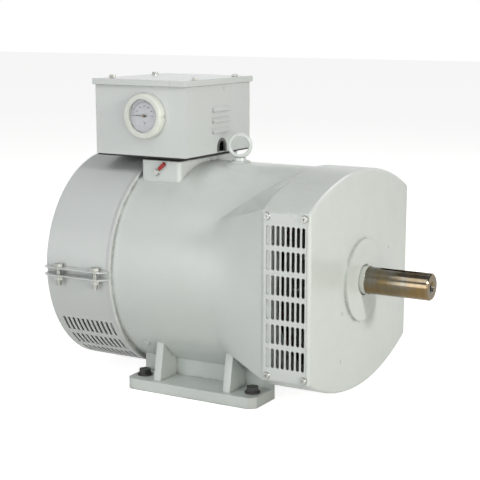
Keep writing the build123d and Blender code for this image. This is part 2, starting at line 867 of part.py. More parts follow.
def make_bearing(name, low_x, width, bore, outer, ball):
    """Deep-groove ball bearing: outer ring, inner ring, balls and a cage, each in its own node."""
    pitch = (bore + outer) / 2
    middle = low_x + width / 2
    land = ball * race_land
    groove = ball + running_gap
    with BuildPart() as outer_ring:
        with BuildSketch(half_profile()):
            add(ring_profile(low_x, low_x + width, pitch + land, outer))
            with Locations((middle, pitch)):
                Circle(groove, mode=Mode.SUBTRACT)
        revolve(axis=axis_x)
    with BuildPart() as inner_ring:
        with BuildSketch(half_profile()):
            add(ring_profile(low_x, low_x + width, bore + seat_gap / 5, pitch - land))
            with Locations((middle, pitch)):
                Circle(groove, mode=Mode.SUBTRACT)
        revolve(axis=axis_x)
    with BuildPart() as balls:
        with Locations(Location((middle, 0, shaft_height), (0, 90, 0))):
            with PolarLocations(pitch, ball_count):
                Sphere(ball)
    with BuildPart() as cage:
        with BuildSketch(half_profile()):
            add(
                ring_profile(
                    middle - ball - cage_overhang,
                    middle + ball + cage_overhang,
                    pitch - land * cage_share,
                    pitch + land * cage_share,
                )
            )
        revolve(axis=axis_x)
        for turn in range(ball_count):
            angle = 2 * math.pi * turn / ball_count
            radial = (0, -math.sin(angle), -math.cos(angle))
            with BuildSketch(Plane(origin=(middle, 0, shaft_height), x_dir=(1, 0, 0), z_dir=radial)):
                Circle(ball + cage_gap)
            extrude(amount=outer, mode=Mode.SUBTRACT)
    for piece, part_name in (
        (outer_ring.part, "outer_ring"),
        (inner_ring.part, "inner_ring"),
        (balls.part, "balls"),
        (cage.part, "cage"),
    ):
        piece.label = f"{name}_bearing_{part_name}"
        export_step(piece, f"parts/{piece.label}.step")


make_bearing(
    "front", front_bearing_x, front_bearing_width, collar_radius, front_bearing_outer, front_ball_radius
)
make_bearing(
    "rear", rear_bearing_x, rear_bearing_width, rear_seat_radius, rear_bearing_outer, rear_ball_radius
)

# Shaft, stepped from the slip-ring end to the drive end.
core_rear_x = core_centre_x - core_length / 2
core_front_x = core_centre_x + core_length / 2
rear_bearing_end_x = rear_bearing_x + rear_bearing_width
with BuildPart() as shaft:
    with BuildSketch(half_profile()):
        add(
            turned(
                [
                    (shaft_rear_x, 0),
                    (shaft_rear_x, ring_seat_radius - rear_chamfer),
                    (shaft_rear_x + rear_chamfer, ring_seat_radius),
                    (rear_bearing_x - rear_seat_overrun, ring_seat_radius),
                    (rear_bearing_x - rear_seat_overrun, rear_seat_radius),
                    (rear_bearing_end_x, rear_seat_radius),
                    (rear_bearing_end_x, core_seat_radius - core_step),
                    (core_rear_x - core_step_length, core_seat_radius - core_step),
                    (core_rear_x, core_seat_radius),
                    (core_front_x, core_seat_radius),
                    (core_front_x, front_shoulder_radius),
                    (front_bearing_x, front_shoulder_radius),
                    (front_bearing_x, collar_radius),
                    (collar_end_x, collar_radius),
                    (collar_end_x, shaft_end_radius),
                    (shaft_end_x - end_chamfer, shaft_end_radius),
                    (shaft_end_x, shaft_end_radius - end_chamfer),
                    (shaft_end_x, centre_cone_radius),
                    (shaft_end_x - centre_cone_depth, centre_hole_radius),
                    (shaft_end_x - centre_hole_depth, centre_hole_radius),
                    (shaft_end_x - centre_hole_depth - centre_tip_depth, 0),
                ]
            )
        )
    revolve(axis=axis_x)
    with BuildSketch(level(shaft_height + shaft_end_radius - keyway_depth)):
        with Locations((keyway_start_x + keyway_length / 2, 0)):
            SlotOverall(keyway_length, keyway_width)
    extrude(amount=keyway_depth + overcut, mode=Mode.SUBTRACT)
shaft.part.label = "shaft"
export_step(shaft.part, "parts/shaft.step")

# Rotor core with four salient poles.
with BuildPart() as rotor_core:
    with BuildSketch(section(core_rear_x)):
        Circle(rotor_radius)
        Rectangle(2 * pole_shoe_inner, 2 * pole_shoe_inner, mode=Mode.SUBTRACT)
        Circle(pole_hub_radius)
        for turn in (0, 90):
            Rectangle(2 * (rotor_radius - pole_body_sink), pole_body_width, rotation=turn)
        Circle(core_seat_radius + seat_gap / 5, mode=Mode.SUBTRACT)
    extrude(amount=core_length)
rotor_core.part.label = "rotor_core"
export_step(rotor_core.part, "parts/rotor_core.step")

# Field coils, one round each pole body.
with BuildPart() as field_coils:
    for turn in range(pole_count):
        angle = math.radians(90 * turn)
        coil_plane = Plane(
            origin=(
                core_centre_x,
                field_coil_inner * math.cos(angle),
                shaft_height + field_coil_inner * math.sin(angle),
            ),
            x_dir=(1, 0, 0),
            z_dir=(0, math.cos(angle), math.sin(angle)),
        )
        coil_length = core_length + 2 * seat_gap + field_coil_clearance
        coil_width = pole_body_width + field_coil_clearance
        with BuildSketch(coil_plane):
            RectangleRounded(
                coil_length + 2 * field_coil_thickness,
                coil_width + 2 * field_coil_thickness,
                field_coil_thickness,
            )
            Rectangle(coil_length, coil_width, mode=Mode.SUBTRACT)
        extrude(amount=field_coil_outer - field_coil_inner)
field_coils.part.label = "field_coils"
export_step(field_coils.part, "parts/field_coils.step")

# Stator core and its winding.
with BuildPart() as stator_core:
    with BuildSketch(section(core_rear_x)):
        Circle(core_outer_radius)
        Circle(core_bore_radius, mode=Mode.SUBTRACT)
        with PolarLocations((core_bore_radius + slot_floor_radius) / 2 - overcut, core_slots):
            Rectangle(slot_floor_radius - core_bore_radius + 2 * overcut, slot_width, mode=Mode.SUBTRACT)
    extrude(amount=core_length)
stator_core.part.label = "stator_core"
export_step(stator_core.part, "parts/stator_core.step")

with BuildPart() as stator_winding:
    with BuildSketch(section(core_rear_x - coil_end_gap - coil_bar_reach)):
        with PolarLocations((coil_end_inner + slot_floor_radius) / 2, core_slots):
            Rectangle(slot_floor_radius - coil_end_inner - coil_bar_gap, coil_bar_width)
    extrude(amount=core_length + 2 * (coil_end_gap + coil_bar_reach))
    for low_x in (core_rear_x - coil_end_gap - coil_end_length, core_front_x + coil_end_gap):
        with BuildSketch(half_profile()):
            with Locations((low_x + coil_end_length / 2, (coil_end_inner + coil_end_outer) / 2)):
                RectangleRounded(coil_end_length, coil_end_outer - coil_end_inner, coil_end_corner)
        revolve(axis=axis_x)
stator_winding.part.label = "stator_winding"
export_step(stator_winding.part, "parts/stator_winding.step")

# Fan on the shaft's shoulder, behind the grilles.
fan_bore = front_shoulder_radius + seat_gap / 5
with BuildPart() as fan:
    with BuildSketch(half_profile()):
        add(ring_profile(fan_x, fan_x + fan_plate_thickness, fan_bore, fan_outer_radius))
        add(ring_profile(fan_x, fan_x + fan_hub_length, fan_bore, fan_hub_radius))
    revolve(axis=axis_x)
    with BuildSketch(section(fan_x)):
        with PolarLocations((fan_blade_inner + fan_outer_radius) / 2, fan_blades):
            Rectangle(fan_outer_radius - fan_blade_inner - fan_blade_sink, fan_blade_thickness)
    extrude(amount=fan_plate_thickness + fan_blade_width)
fan.part.label = "fan"
export_step(fan.part, "parts/fan.step")

# Rear bracket: a flange on the frame, arms back to the bearing hub, and posts for the cover.
hub_back_x = rear_bearing_x - spider_lip
flange_rear_x = barrel_rear_x - spider_flange_thickness
cover_inner_x = shroud_rear_x + cover_thickness
with BuildPart() as rear_bracket:
    with BuildSketch(half_profile()):
        add(ring_profile(flange_rear_x, barrel_rear_x, spider_flange_inner, barrel_radius))
        add(
            ring_profile(
                barrel_rear_x - overcut,
                barrel_rear_x + spigot_depth,
                core_outer_radius + overcut,
                barrel_bore - spigot_clearance,
            )
        )
        add(ring_profile(hub_back_x, spider_hub_front_x, 0, spider_hub_radius))
    revolve(axis=axis_x)
    for turn in range(spider_arm_count):
        angle = math.radians(360 / spider_arm_count * turn)
        arm_side = (0, -math.sin(angle), math.cos(angle))
        with BuildSketch(Plane(origin=(0, 0, shaft_height), x_dir=(1, 0, 0), z_dir=arm_side)):
            with BuildLine():
                Polyline(
                    (spider_hub_front_x, -spider_hub_radius + spider_arm_root),
                    (flange_rear_x + spider_arm_foot_x, -spider_flange_inner - spider_arm_root),
                    (flange_rear_x, -spider_flange_inner - spider_arm_foot_drop),
                    (hub_back_x + spider_arm_hub_x, -spider_hub_radius + spider_arm_root),
                    close=True,
                )
            make_face()
        extrude(amount=spider_arm_width / 2, both=True)
    with BuildSketch(section(cover_inner_x + seat_gap)):
        with PolarLocations(cover_post_circle, spider_arm_count):
            Circle(cover_post_radius)
    extrude(amount=flange_rear_x - cover_inner_x - spider_arm_width)
    with BuildSketch(half_profile()):
        add(
            turned(
                [
                    (hub_back_x - overcut, 0),
                    (spider_hub_front_x + overcut, 0),
                    (spider_hub_front_x + overcut, spider_bore),
                    (rear_bearing_end_x, spider_bore),
                    (rear_bearing_end_x, rear_bearing_outer + seat_gap),
                    (hub_back_x - overcut, rear_bearing_outer + seat_gap),
                ]
            )
        )
    revolve(axis=axis_x, mode=Mode.SUBTRACT)
    with BuildSketch(section(flange_rear_x)):
        with tie_rod_places:
            Circle(tie_rod_radius + seat_gap)
    extrude(amount=spider_flange_thickness + spigot_depth, mode=Mode.SUBTRACT)
    with BuildSketch(section(cover_inner_x)):
        with PolarLocations(cover_post_circle, spider_arm_count):
            Circle(cover_screw_radius + seat_gap)
    extrude(amount=cover_tap_depth, mode=Mode.SUBTRACT)
    with BuildSketch(section(hub_back_x)):
        with Locations((0, holder_foot_height)):
            with GridLocations(holder_screw_spacing, 0, 2, 1):
                Circle(holder_screw_radius + seat_gap)
    extrude(amount=holder_screw_length, mode=Mode.SUBTRACT)
rear_bracket.part.label = "rear_bracket"
export_step(rear_bracket.part, "parts/rear_bracket.step")

# Tie rods clamp both brackets on the frame, each with a nut behind the rear flange.
tie_nut_x = flange_rear_x - tie_nut_height
with BuildPart() as tie_rods:
    with BuildSketch(section(tie_nut_x - tie_rod_tail)):
        with tie_rod_places:
            Circle(tie_rod_radius)
    extrude(amount=frame_front_x + bracket_wall - tie_rod_shortfall - tie_nut_x + tie_rod_tail)
    with BuildSketch(section(tie_nut_x)):
        with tie_rod_places:
            hexagon(tie_nut_width)
            Circle(tie_rod_radius + seat_gap, mode=Mode.SUBTRACT)
    extrude(amount=tie_nut_height)
tie_rods.part.label = "tie_rods"
export_step(tie_rods.part, "parts/tie_rods.step")

# Shroud: two half bands round the rear, clamped together at mid height on both sides.
shroud_length = shroud_front_x - shroud_rear_x
shroud_inner = shroud_radius - shroud_thickness
lip_low_x = shroud_rear_x + lip_margin
lip_high_x = shroud_front_x - lip_margin
clamp_y = shroud_radius + clamp_offset


def make_shroud(half):
    """One half band with its two clamping lips, half being +1 above and -1 below."""
    with BuildPart() as band:
        with BuildSketch(section(shroud_rear_x)):
            Circle(shroud_radius)
            Circle(shroud_inner, mode=Mode.SUBTRACT)
            with Locations((0, half * (lip_gap / 2 - shroud_radius))):
                Rectangle(3 * shroud_radius, 2 * shroud_radius, mode=Mode.SUBTRACT)
        extrude(amount=shroud_length)
        with BuildSketch(section(shroud_front_x - shroud_hem_width)):
            Circle(shroud_radius + shroud_hem_height)
            Circle(shroud_inner, mode=Mode.SUBTRACT)
            with Locations((0, half * (lip_gap / 2 - shroud_radius))):
                Rectangle(3 * shroud_radius, 2 * shroud_radius, mode=Mode.SUBTRACT)
        extrude(amount=shroud_hem_width)
        with BuildSketch(level(shaft_height + half * lip_gap / 2)):
            for side_sign in (-1, 1):
                inner_y = side_sign * (shroud_inner + lip_root_gap)
                outer_y = side_sign * (shroud_radius + lip_depth)
                with BuildLine():
                    Polyline(
                        (lip_low_x, inner_y),
                        (lip_low_x, outer_y - side_sign * lip_bevel),
                        (lip_low_x + lip_bevel, outer_y),
                        (lip_high_x - lip_bevel, outer_y),
                        (lip_high_x, outer_y - side_sign * lip_bevel),
                        (lip_high_x, inner_y),
                        close=True,
                    )
                make_face()
            for bolt_x in clamp_bolt_x:
                with Locations((bolt_x, clamp_y), (bolt_x, -clamp_y)):
                    Circle(clamp_bolt_radius + screw_gap, mode=Mode.SUBTRACT)
        extrude(amount=half * lip_thickness)
        if half < 0:
            for row in range(vent_rows):
                angle = math.radians(-180 + vent_first_angle + row * vent_row_pitch)
                outward = (0, math.cos(angle), math.sin(angle))
                place = (
                    vent_middle_x,
                    shroud_radius * math.cos(angle),
                    shaft_height + shroud_radius * math.sin(angle),
                )
                with BuildSketch(Plane(origin=place, x_dir=(1, 0, 0), z_dir=outward)):
                    with GridLocations(vent_column_pitch, 0, vent_columns, 1):
                        Rectangle(vent_width, vent_length)
                extrude(amount=vent_cut, both=True, mode=Mode.SUBTRACT)
    return band.part


shroud_upper = make_shroud(1)
shroud_upper.label = "shroud_upper"
export_step(shroud_upper, "parts/shroud_upper.step")
shroud_lower = make_shroud(-1)
shroud_lower.label = "shroud_lower"
export_step(shroud_lower, "parts/shroud_lower.step")

# Strips inside the band, behind the gap between its halves.
with BuildPart() as shroud_strips:
    with BuildSketch(section(cover_inner_x + cover_rim_depth)):
        Circle(shroud_inner - band_gap)
        Circle(shroud_inner - band_gap - shroud_thickness, mode=Mode.SUBTRACT)
        Rectangle(3 * shroud_radius, strip_height, mode=Mode.INTERSECT)
    extrude(amount=barrel_rear_x - seat_gap - cover_inner_x - cover_rim_depth)
shroud_strips.part.label = "shroud_strips"
export_step(shroud_strips.part, "parts/shroud_strips.step")

clamp_head_z = shaft_height + lip_gap / 2 + lip_thickness
clamp_nut_z = shaft_height - lip_gap / 2 - lip_thickness
with BuildPart() as clamp_bolts:
    with BuildSketch(level(clamp_head_z)):
        for bolt_x in clamp_bolt_x:
            with Locations((bolt_x, clamp_y), (bolt_x, -clamp_y)):
                hexagon(clamp_head_width)
    extrude(amount=clamp_head_height)
    with BuildSketch(level(clamp_head_z)):
        for bolt_x in clamp_bolt_x:
            with Locations((bolt_x, clamp_y), (bolt_x, -clamp_y)):
                Circle(clamp_bolt_radius)
    extrude(amount=clamp_nut_z - clamp_head_z - tie_nut_height - clamp_bolt_tail)
    with BuildSketch(level(clamp_nut_z)):
        for bolt_x in clamp_bolt_x:
            with Locations((bolt_x, clamp_y), (bolt_x, -clamp_y)):
                hexagon(clamp_head_width)
                Circle(clamp_bolt_radius + seat_gap, mode=Mode.SUBTRACT)
    extrude(amount=-tie_nut_height)
clamp_bolts.part.label = "clamp_bolts"
export_step(clamp_bolts.part, "parts/clamp_bolts.step")

# Rear cover: a flat sheet with a rim inside the band and a ring of air slots.
cover_places = PolarLocations(cover_post_circle, spider_arm_count)
with BuildPart() as rear_cover:
    with BuildSketch(half_profile()):
        add(ring_profile(shroud_rear_x, cover_inner_x, 0, shroud_inner - band_gap))
        add(
            ring_profile(
                shroud_rear_x,
                cover_inner_x + cover_rim_depth - seat_gap,
                shroud_inner - band_gap - cover_thickness,
                shroud_inner - band_gap,
            )
        )
    revolve(axis=axis_x)
    with BuildSketch(section(shroud_rear_x)):
        with PolarLocations(cover_vent_circle, cover_vents, start_angle=cover_vent_angle):
            SlotOverall(cover_vent_length, cover_vent_width)
        with cover_places:
            Circle(cover_screw_radius + screw_gap)
    extrude(amount=cover_thickness, mode=Mode.SUBTRACT)
rear_cover.part.label = "rear_cover"
export_step(rear_cover.part, "parts/rear_cover.step")

with BuildPart() as cover_screws:
    with BuildSketch(section(shroud_rear_x)):
        with cover_places:
            hexagon(cover_head_width)
    extrude(amount=-cover_head_height)
    with BuildSketch(section(shroud_rear_x)):
        with cover_places:
            Circle(cover_screw_radius)
    extrude(amount=cover_screw_length)
cover_screws.part.label = "cover_screws"
export_step(cover_screws.part, "parts/cover_screws.step")

# Slip rings on their insulating sleeve.
with BuildPart() as ring_sleeve:
    with BuildSketch(half_profile()):
        add(ring_profile(sleeve_rear_x, sleeve_front_x, ring_seat_radius + seat_gap / 5, sleeve_radius))
    revolve(axis=axis_x)
ring_sleeve.part.label = "ring_sleeve"
export_step(ring_sleeve.part, "parts/ring_sleeve.step")

with BuildPart() as slip_rings:
    with BuildSketch(half_profile()):
        for ring_x in slip_ring_x:
            add(
                ring_profile(
                    ring_x - slip_ring_width / 2,
                    ring_x + slip_ring_width / 2,
                    sleeve_radius + seat_gap / 5,
                    slip_ring_radius,
                )
            )
    revolve(axis=axis_x)
slip_rings.part.label = "slip_rings"
export_step(slip_rings.part, "parts/slip_rings.step")

# Brush holder with a box over each slip ring, screwed to the bearing hub.
holder_low_z = shaft_height + slip_ring_radius + brush_gap + holder_base_gap
holder_top_z = holder_low_z + holder_height
brush_top_z = shaft_height + slip_ring_radius + brush_gap + brush_height
holder_half_x = brush_length_x / 2 + holder_clearance + holder_wall
holder_half_y = brush_width_y / 2 + holder_clearance + holder_wall
holder_front_x = slip_ring_x[0] + holder_half_x
with BuildPart() as brush_holder:
    with BuildSketch(level(holder_low_z)):
        with Locations(((slip_ring_x[1] - holder_half_x + holder_front_x) / 2, 0)):
            Rectangle(holder_front_x - slip_ring_x[1] + holder_half_x, 2 * holder_half_y)
    extrude(amount=holder_height)
    with BuildSketch(section(hub_back_x - seat_gap)):
        with Locations((0, holder_foot_height)):
            Rectangle(holder_foot_length, holder_foot_width)
    extrude(amount=holder_front_x - hub_back_x - holder_foot_step)
    with BuildSketch(level(holder_low_z)):
        for ring_x in slip_ring_x:
            with Locations((ring_x, 0)):
                Rectangle(brush_length_x + 2 * holder_clearance, brush_width_y + 2 * holder_clearance)
    extrude(amount=holder_height - holder_wall, mode=Mode.SUBTRACT)
    with BuildSketch(section(hub_back_x)):
        with Locations((0, holder_foot_height)):
            with GridLocations(holder_screw_spacing, 0, 2, 1):
                Circle(holder_screw_radius + seat_gap)
    extrude(amount=-holder_hole_depth, mode=Mode.SUBTRACT)
brush_holder.part.label = "brush_holder"
export_step(brush_holder.part, "parts/brush_holder.step")

holder_foot_x = holder_front_x - holder_foot_step - seat_gap
with BuildPart() as holder_screws:
    with BuildSketch(section(holder_foot_x)):
        with Locations((0, holder_foot_height)):
            with GridLocations(holder_screw_spacing, 0, 2, 1):
                Circle(holder_head_radius)
    extrude(amount=-holder_head_height)
    with BuildSketch(section(holder_foot_x)):
        with Locations((0, holder_foot_height)):
            with GridLocations(holder_screw_spacing, 0, 2, 1):
                Circle(holder_screw_radius)
    extrude(amount=holder_screw_length)
holder_screws.part.label = "holder_screws"
export_step(holder_screws.part, "parts/holder_screws.step")

for brush_name, ring_x in zip(("front", "rear"), slip_ring_x):
    with BuildPart() as brush:
        with BuildSketch(level(shaft_height + slip_ring_radius / 2)):
            with Locations((ring_x, 0)):
                Rectangle(brush_length_x, brush_width_y)
        extrude(amount=brush_top_z - shaft_height - slip_ring_radius / 2)
        with BuildSketch(section(ring_x - brush_length_x)):
            Circle(slip_ring_radius + brush_gap)
        extrude(amount=2 * brush_length_x, mode=Mode.SUBTRACT)
    brush.part.label = f"{brush_name}_brush"
    export_step(brush.part, f"parts/{brush.part.label}.step")

    spring_rise = holder_top_z - holder_wall - brush_top_z - 2 * (spring_wire + seat_gap)
    with BuildPart() as spring:
        with BuildLine():
            Helix(
                pitch=spring_rise / spring_coils,
                height=spring_rise,
                radius=spring_radius,
                center=(ring_x, 0, brush_top_z + spring_wire + seat_gap),
            )
        with BuildSketch(
            Plane(
                origin=(ring_x + spring_radius, 0, brush_top_z + spring_wire + seat_gap),
                x_dir=(1, 0, 0),
                z_dir=(0, 1, spring_rise / spring_coils / (2 * math.pi * spring_radius)),
            )
        ):
            RegularPolygon(spring_wire, 6)
        sweep(is_frenet=True)
    spring.part.label = f"{brush_name}_brush_spring"
    export_step(spring.part, f"parts/{spring.part.label}.step")

# Terminal box over the pedestal, standing on four pads.
pedestal_top_z = shaft_height + pedestal_height
box_body_top_z = box_top_z - box_sheet - gasket_thickness
box_front_x = box_x + box_length / 2
box_rear_x = box_x - box_length / 2
box_low_z = box_floor_z + box_sheet


def pad_places():
    """Centres of the four pads that carry the box."""
    return [
        (pedestal_x + i * pad_offset_x, j * pad_offset_y)
        for i in (-1, 1)
        for j in (-1, 1)
    ]


def lid_screw_places():
    """Centres of the four lid screws."""
    return [(box_x + i * lid_screw_x, j * lid_screw_y) for i in (-1, 1) for j in (-1, 1)]


def louvre_hood(wall_x, outward, low_z, inset):
    """Wedge of one pressed hood, or with an inset the hollow inside it, which opens downwards."""
    top = low_z + louvre_height - 1.6 * inset
    inner_x = wall_x - outward * (louvre_root + 2 * inset)
    outer_x = wall_x + outward * (louvre_depth - inset)
    with BuildPart() as hood:
        with BuildSketch(side(louvre_y)):
            with BuildLine():
                Polyline(
                    (inner_x, top),
                    (outer_x, low_z + louvre_drop - inset),
                    (outer_x, low_z - inset),
                    (inner_x, low_z - inset / 4),
                    close=True,
                )
            make_face()
        extrude(amount=louvre_width / 2 - inset, both=True)
    return hood.part


with BuildPart() as terminal_box:
    with BuildSketch(level(box_floor_z)):
        with Locations((box_x, 0)):
            Rectangle(box_length, box_width)
    extrude(amount=box_body_top_z - box_floor_z)
    with BuildSketch(level(box_low_z)):
        with Locations((box_x, 0)):
            Rectangle(box_length - 2 * box_sheet, box_width - 2 * box_sheet)
    extrude(amount=box_body_top_z - box_floor_z - 2 * box_sheet, mode=Mode.SUBTRACT)
    with BuildSketch(level(box_body_top_z)):
        with Locations((box_x, 0)):
            Rectangle(box_length - 2 * box_flange, box_width - 2 * box_flange)
    extrude(amount=-2 * box_sheet, mode=Mode.SUBTRACT)
    for louvre in range(louvre_count):
        low_z = louvre_first_z + louvre * louvre_pitch
        for wall_x, outward in ((box_front_x, 1), (box_rear_x, -1)):
            add(louvre_hood(wall_x, outward, low_z, 0))
            add(louvre_hood(wall_x, outward, low_z, louvre_wall), mode=Mode.SUBTRACT)
    with BuildSketch(level(box_floor_z)):
        with Locations((pedestal_x, 0)):
            Rectangle(box_opening_length, box_opening_width)
        with Locations(*pad_places()):
            Circle(box_screw_radius + screw_gap)
        with Locations((rectifier_x, 0)):
            Circle(stud_radius + seat_gap)
    extrude(amount=box_sheet, mode=Mode.SUBTRACT)
    with BuildSketch(level(box_body_top_z)):
        with Locations(*lid_screw_places()):
            Circle(lid_screw_radius + seat_gap)
    extrude(amount=-box_sheet, mode=Mode.SUBTRACT)
    with BuildSketch(side(-box_width / 2)):
        with Locations((meter_x, meter_z)):
            Circle(meter_body_radius + screw_gap)
    extrude(amount=-box_sheet, mode=Mode.SUBTRACT)
    with BuildSketch(Plane(origin=(box_front_x, notch_y, box_floor_z), x_dir=(0, 1, 0), z_dir=(1, 0, 0))):
        with Locations((0, (notch_height - notch_width / 2) / 2)):
            Rectangle(notch_width, notch_height - notch_width / 2)
        with Locations((0, notch_height - notch_width / 2)):
            Circle(notch_width / 2)
    extrude(amount=-box_sheet, mode=Mode.SUBTRACT)
terminal_box.part.label = "terminal_box"
export_step(terminal_box.part, "parts/terminal_box.step")

with BuildPart() as box_pads:
    with BuildSketch(level(pedestal_top_z)):
        with Locations(*pad_places()):
            Circle(pad_radius)
            Circle(box_screw_radius + screw_gap, mode=Mode.SUBTRACT)
    extrude(amount=box_floor_z - pedestal_top_z)
    with BuildSketch(level(box_floor_z)):
        with Locations((box_x, 0)):
            Rectangle(box_length - 2 * mat_inset, box_width - 2 * mat_inset)
        with Locations((pedestal_x, 0)):
            Rectangle(pedestal_opening_length, pedestal_opening_width, mode=Mode.SUBTRACT)
        with Locations(*pad_places()):
            Circle(box_screw_radius + screw_gap, mode=Mode.SUBTRACT)
        with Locations((rectifier_x, 0)):
            Circle(mat_hole_radius, mode=Mode.SUBTRACT)
    extrude(amount=-mat_thickness)
box_pads.part.label = "box_pads"
export_step(box_pads.part, "parts/box_pads.step")

with BuildPart() as box_screws:
    with BuildSketch(level(box_low_z)):
        with Locations(*pad_places()):
            hexagon(box_head_width)
    extrude(amount=box_head_height)
    with BuildSketch(level(box_low_z)):
        with Locations(*pad_places()):
            Circle(box_screw_radius)
    extrude(amount=pedestal_top_z - box_low_z - box_screw_reach)
box_screws.part.label = "box_screws"
export_step(box_screws.part, "parts/box_screws.step")

gasket_length = box_length - 2 * gasket_inset
gasket_breadth = box_width - 2 * gasket_inset
with BuildPart() as lid_gasket:
    with BuildSketch(level(box_body_top_z)):
        with Locations((box_x, 0)):
            Rectangle(gasket_length, gasket_breadth)
            Rectangle(
                gasket_length - 2 * gasket_width, gasket_breadth - 2 * gasket_width, mode=Mode.SUBTRACT
            )
        with Locations(*lid_screw_places()):
            Circle(lid_screw_radius + screw_gap, mode=Mode.SUBTRACT)
    extrude(amount=gasket_thickness)
lid_gasket.part.label = "lid_gasket"
export_step(lid_gasket.part, "parts/lid_gasket.step")

with BuildPart() as box_lid:
    with BuildSketch(level(box_top_z)):
        with Locations((box_x, 0)):
            Rectangle(box_length + 2 * lid_overhang, box_width + 2 * lid_overhang)
    extrude(amount=-lid_lip)
    with BuildSketch(level(box_top_z - box_sheet)):
        with Locations((box_x, 0)):
            Rectangle(
                box_length + 2 * lid_overhang - 2 * box_sheet,
                box_width + 2 * lid_overhang - 2 * box_sheet,
            )
    extrude(amount=-lid_lip, mode=Mode.SUBTRACT)
    with BuildSketch(level(box_top_z)):
        with Locations(*lid_screw_places()):
            Circle(lid_screw_radius + screw_gap)
    extrude(amount=-box_sheet, mode=Mode.SUBTRACT)
box_lid.part.label = "box_lid"
export_step(box_lid.part, "parts/box_lid.step")

with BuildPart() as lid_screws:
    with BuildSketch(level(box_top_z)):
        with Locations(*lid_screw_places()):
            hexagon(lid_head_width)
    extrude(amount=lid_head_height)
    with BuildSketch(level(box_top_z)):
        with Locations(*lid_screw_places()):
            Circle(lid_screw_radius)
    extrude(amount=-lid_screw_length)
lid_screws.part.label = "lid_screws"
export_step(lid_screws.part, "parts/lid_screws.step")

# Rubber trim clipped round the edge of the cable notch.
with BuildPart() as cable_trim:
    notch_plane = Plane(
        origin=(box_front_x + trim_wall / 2, notch_y, box_low_z), x_dir=(0, 1, 0), z_dir=(1, 0, 0)
    )
    straight = notch_height - notch_width / 2 - box_sheet
    with BuildSketch(notch_plane):
        with Locations((0, straight / 2)):
            Rectangle(notch_width + 2 * trim_wall, straight)
        with Locations((0, straight)):
            Circle(notch_width / 2 + trim_wall)
        with Locations((0, straight / 2)):
            Rectangle(notch_width - 2 * trim_wall, straight, mode=Mode.SUBTRACT)
        with Locations((0, straight)):
            Circle(notch_width / 2 - trim_wall, mode=Mode.SUBTRACT)
        with Locations((0, -notch_width)):
            Rectangle(4 * notch_width, 2 * notch_width, mode=Mode.SUBTRACT)
    extrude(amount=-trim_wall - box_sheet)
    groove_plane = Plane(
        origin=(box_front_x + seat_gap, notch_y, box_low_z), x_dir=(0, 1, 0), z_dir=(1, 0, 0)
    )
    with BuildSketch(groove_plane):
        Rectangle(6 * notch_width, 6 * notch_height)
        with Locations((0, straight / 2)):
            Rectangle(notch_width - 2 * seat_gap, straight, mode=Mode.SUBTRACT)
        with Locations((0, straight)):
            Circle(notch_width / 2 - seat_gap, mode=Mode.SUBTRACT)
    extrude(amount=-box_sheet - 2 * seat_gap, mode=Mode.SUBTRACT)
cable_trim.part.label = "cable_trim"
export_step(cable_trim.part, "parts/cable_trim.step")

# Voltmeter in the side wall of the box.
meter_back_y = -box_width / 2
meter_front_y = meter_back_y - meter_depth
dial_back_y = meter_front_y + meter_recess
with BuildPart() as meter_housing:
    with BuildSketch(side(meter_back_y)):
        with Locations((meter_x, meter_z)):
            Circle(meter_radius)
    extrude(amount=meter_depth)
    fillet(meter_housing.faces().sort_by(Axis.Y)[0].edges(), meter_edge_radius)
    with BuildSketch(side(meter_back_y)):
        with Locations((meter_x, meter_z)):
            Circle(meter_body_radius)
    extrude(amount=-meter_body_depth)
    with BuildSketch(side(meter_front_y)):
        with Locations((meter_x, meter_z)):
            Circle(meter_window)
    extrude(amount=-meter_recess, mode=Mode.SUBTRACT)
    with BuildSketch(side(dial_back_y)):
        with Locations((meter_x, meter_z)):
            Circle(pivot_radius + running_gap)
    extrude(amount=-pivot_socket_depth, mode=Mode.SUBTRACT)
    with BuildSketch(side(meter_back_y)):
        with Locations((meter_x + meter_radius, meter_z)):
            Rectangle(meter_key_depth, meter_key_width)
    extrude(amount=meter_depth, mode=Mode.SUBTRACT)
meter_housing.part.label = "meter_housing"
export_step(meter_housing.part, "parts/meter_housing.step")

with BuildPart() as meter_dial:
    with BuildSketch(side(dial_back_y)):
        with Locations((meter_x, meter_z)):
            Circle(meter_window - seat_gap)
            Circle(pivot_radius + dial_hole_gap, mode=Mode.SUBTRACT)
    extrude(amount=dial_thickness)
meter_dial.part.label = "meter_dial"
export_step(meter_dial.part, "parts/meter_dial.step")

pointer_y = dial_back_y - dial_thickness - pointer_gap
with BuildPart() as meter_pointer:
    with BuildSketch(side(pointer_y)):
        with Locations((meter_x, meter_z)):
            Circle(pointer_hub_radius)
        with Locations((meter_x - (pointer_length - pointer_tail) / 2, meter_z)):
            Rectangle(pointer_length + pointer_tail, pointer_width)
    extrude(amount=pointer_thickness)
    with BuildSketch(side(pointer_y)):
        with Locations((meter_x, meter_z)):
            Circle(pivot_radius)
    extrude(amount=-pointer_gap - dial_thickness - pivot_depth)
meter_pointer.part.label = "meter_pointer"
export_step(meter_pointer.part, "parts/meter_pointer.step")

with BuildPart() as meter_glass:
    with BuildSketch(side(meter_front_y + glass_depth)):
        with Locations((meter_x, meter_z)):
            Circle(meter_window - seat_gap)
    extrude(amount=-glass_thickness)
meter_glass.part.label = "meter_glass"
export_step(meter_glass.part, "parts/meter_glass.step")

with BuildPart() as meter_lock_ring:
    with BuildSketch(side(meter_back_y + box_sheet + seat_gap)):
        with Locations((meter_x, meter_z)):
            Circle(meter_body_radius + lock_ring_width)
            Circle(meter_body_radius + seat_gap, mode=Mode.SUBTRACT)
    extrude(amount=-lock_ring_height)
meter_lock_ring.part.label = "meter_lock_ring"
export_step(meter_lock_ring.part, "parts/meter_lock_ring.step")

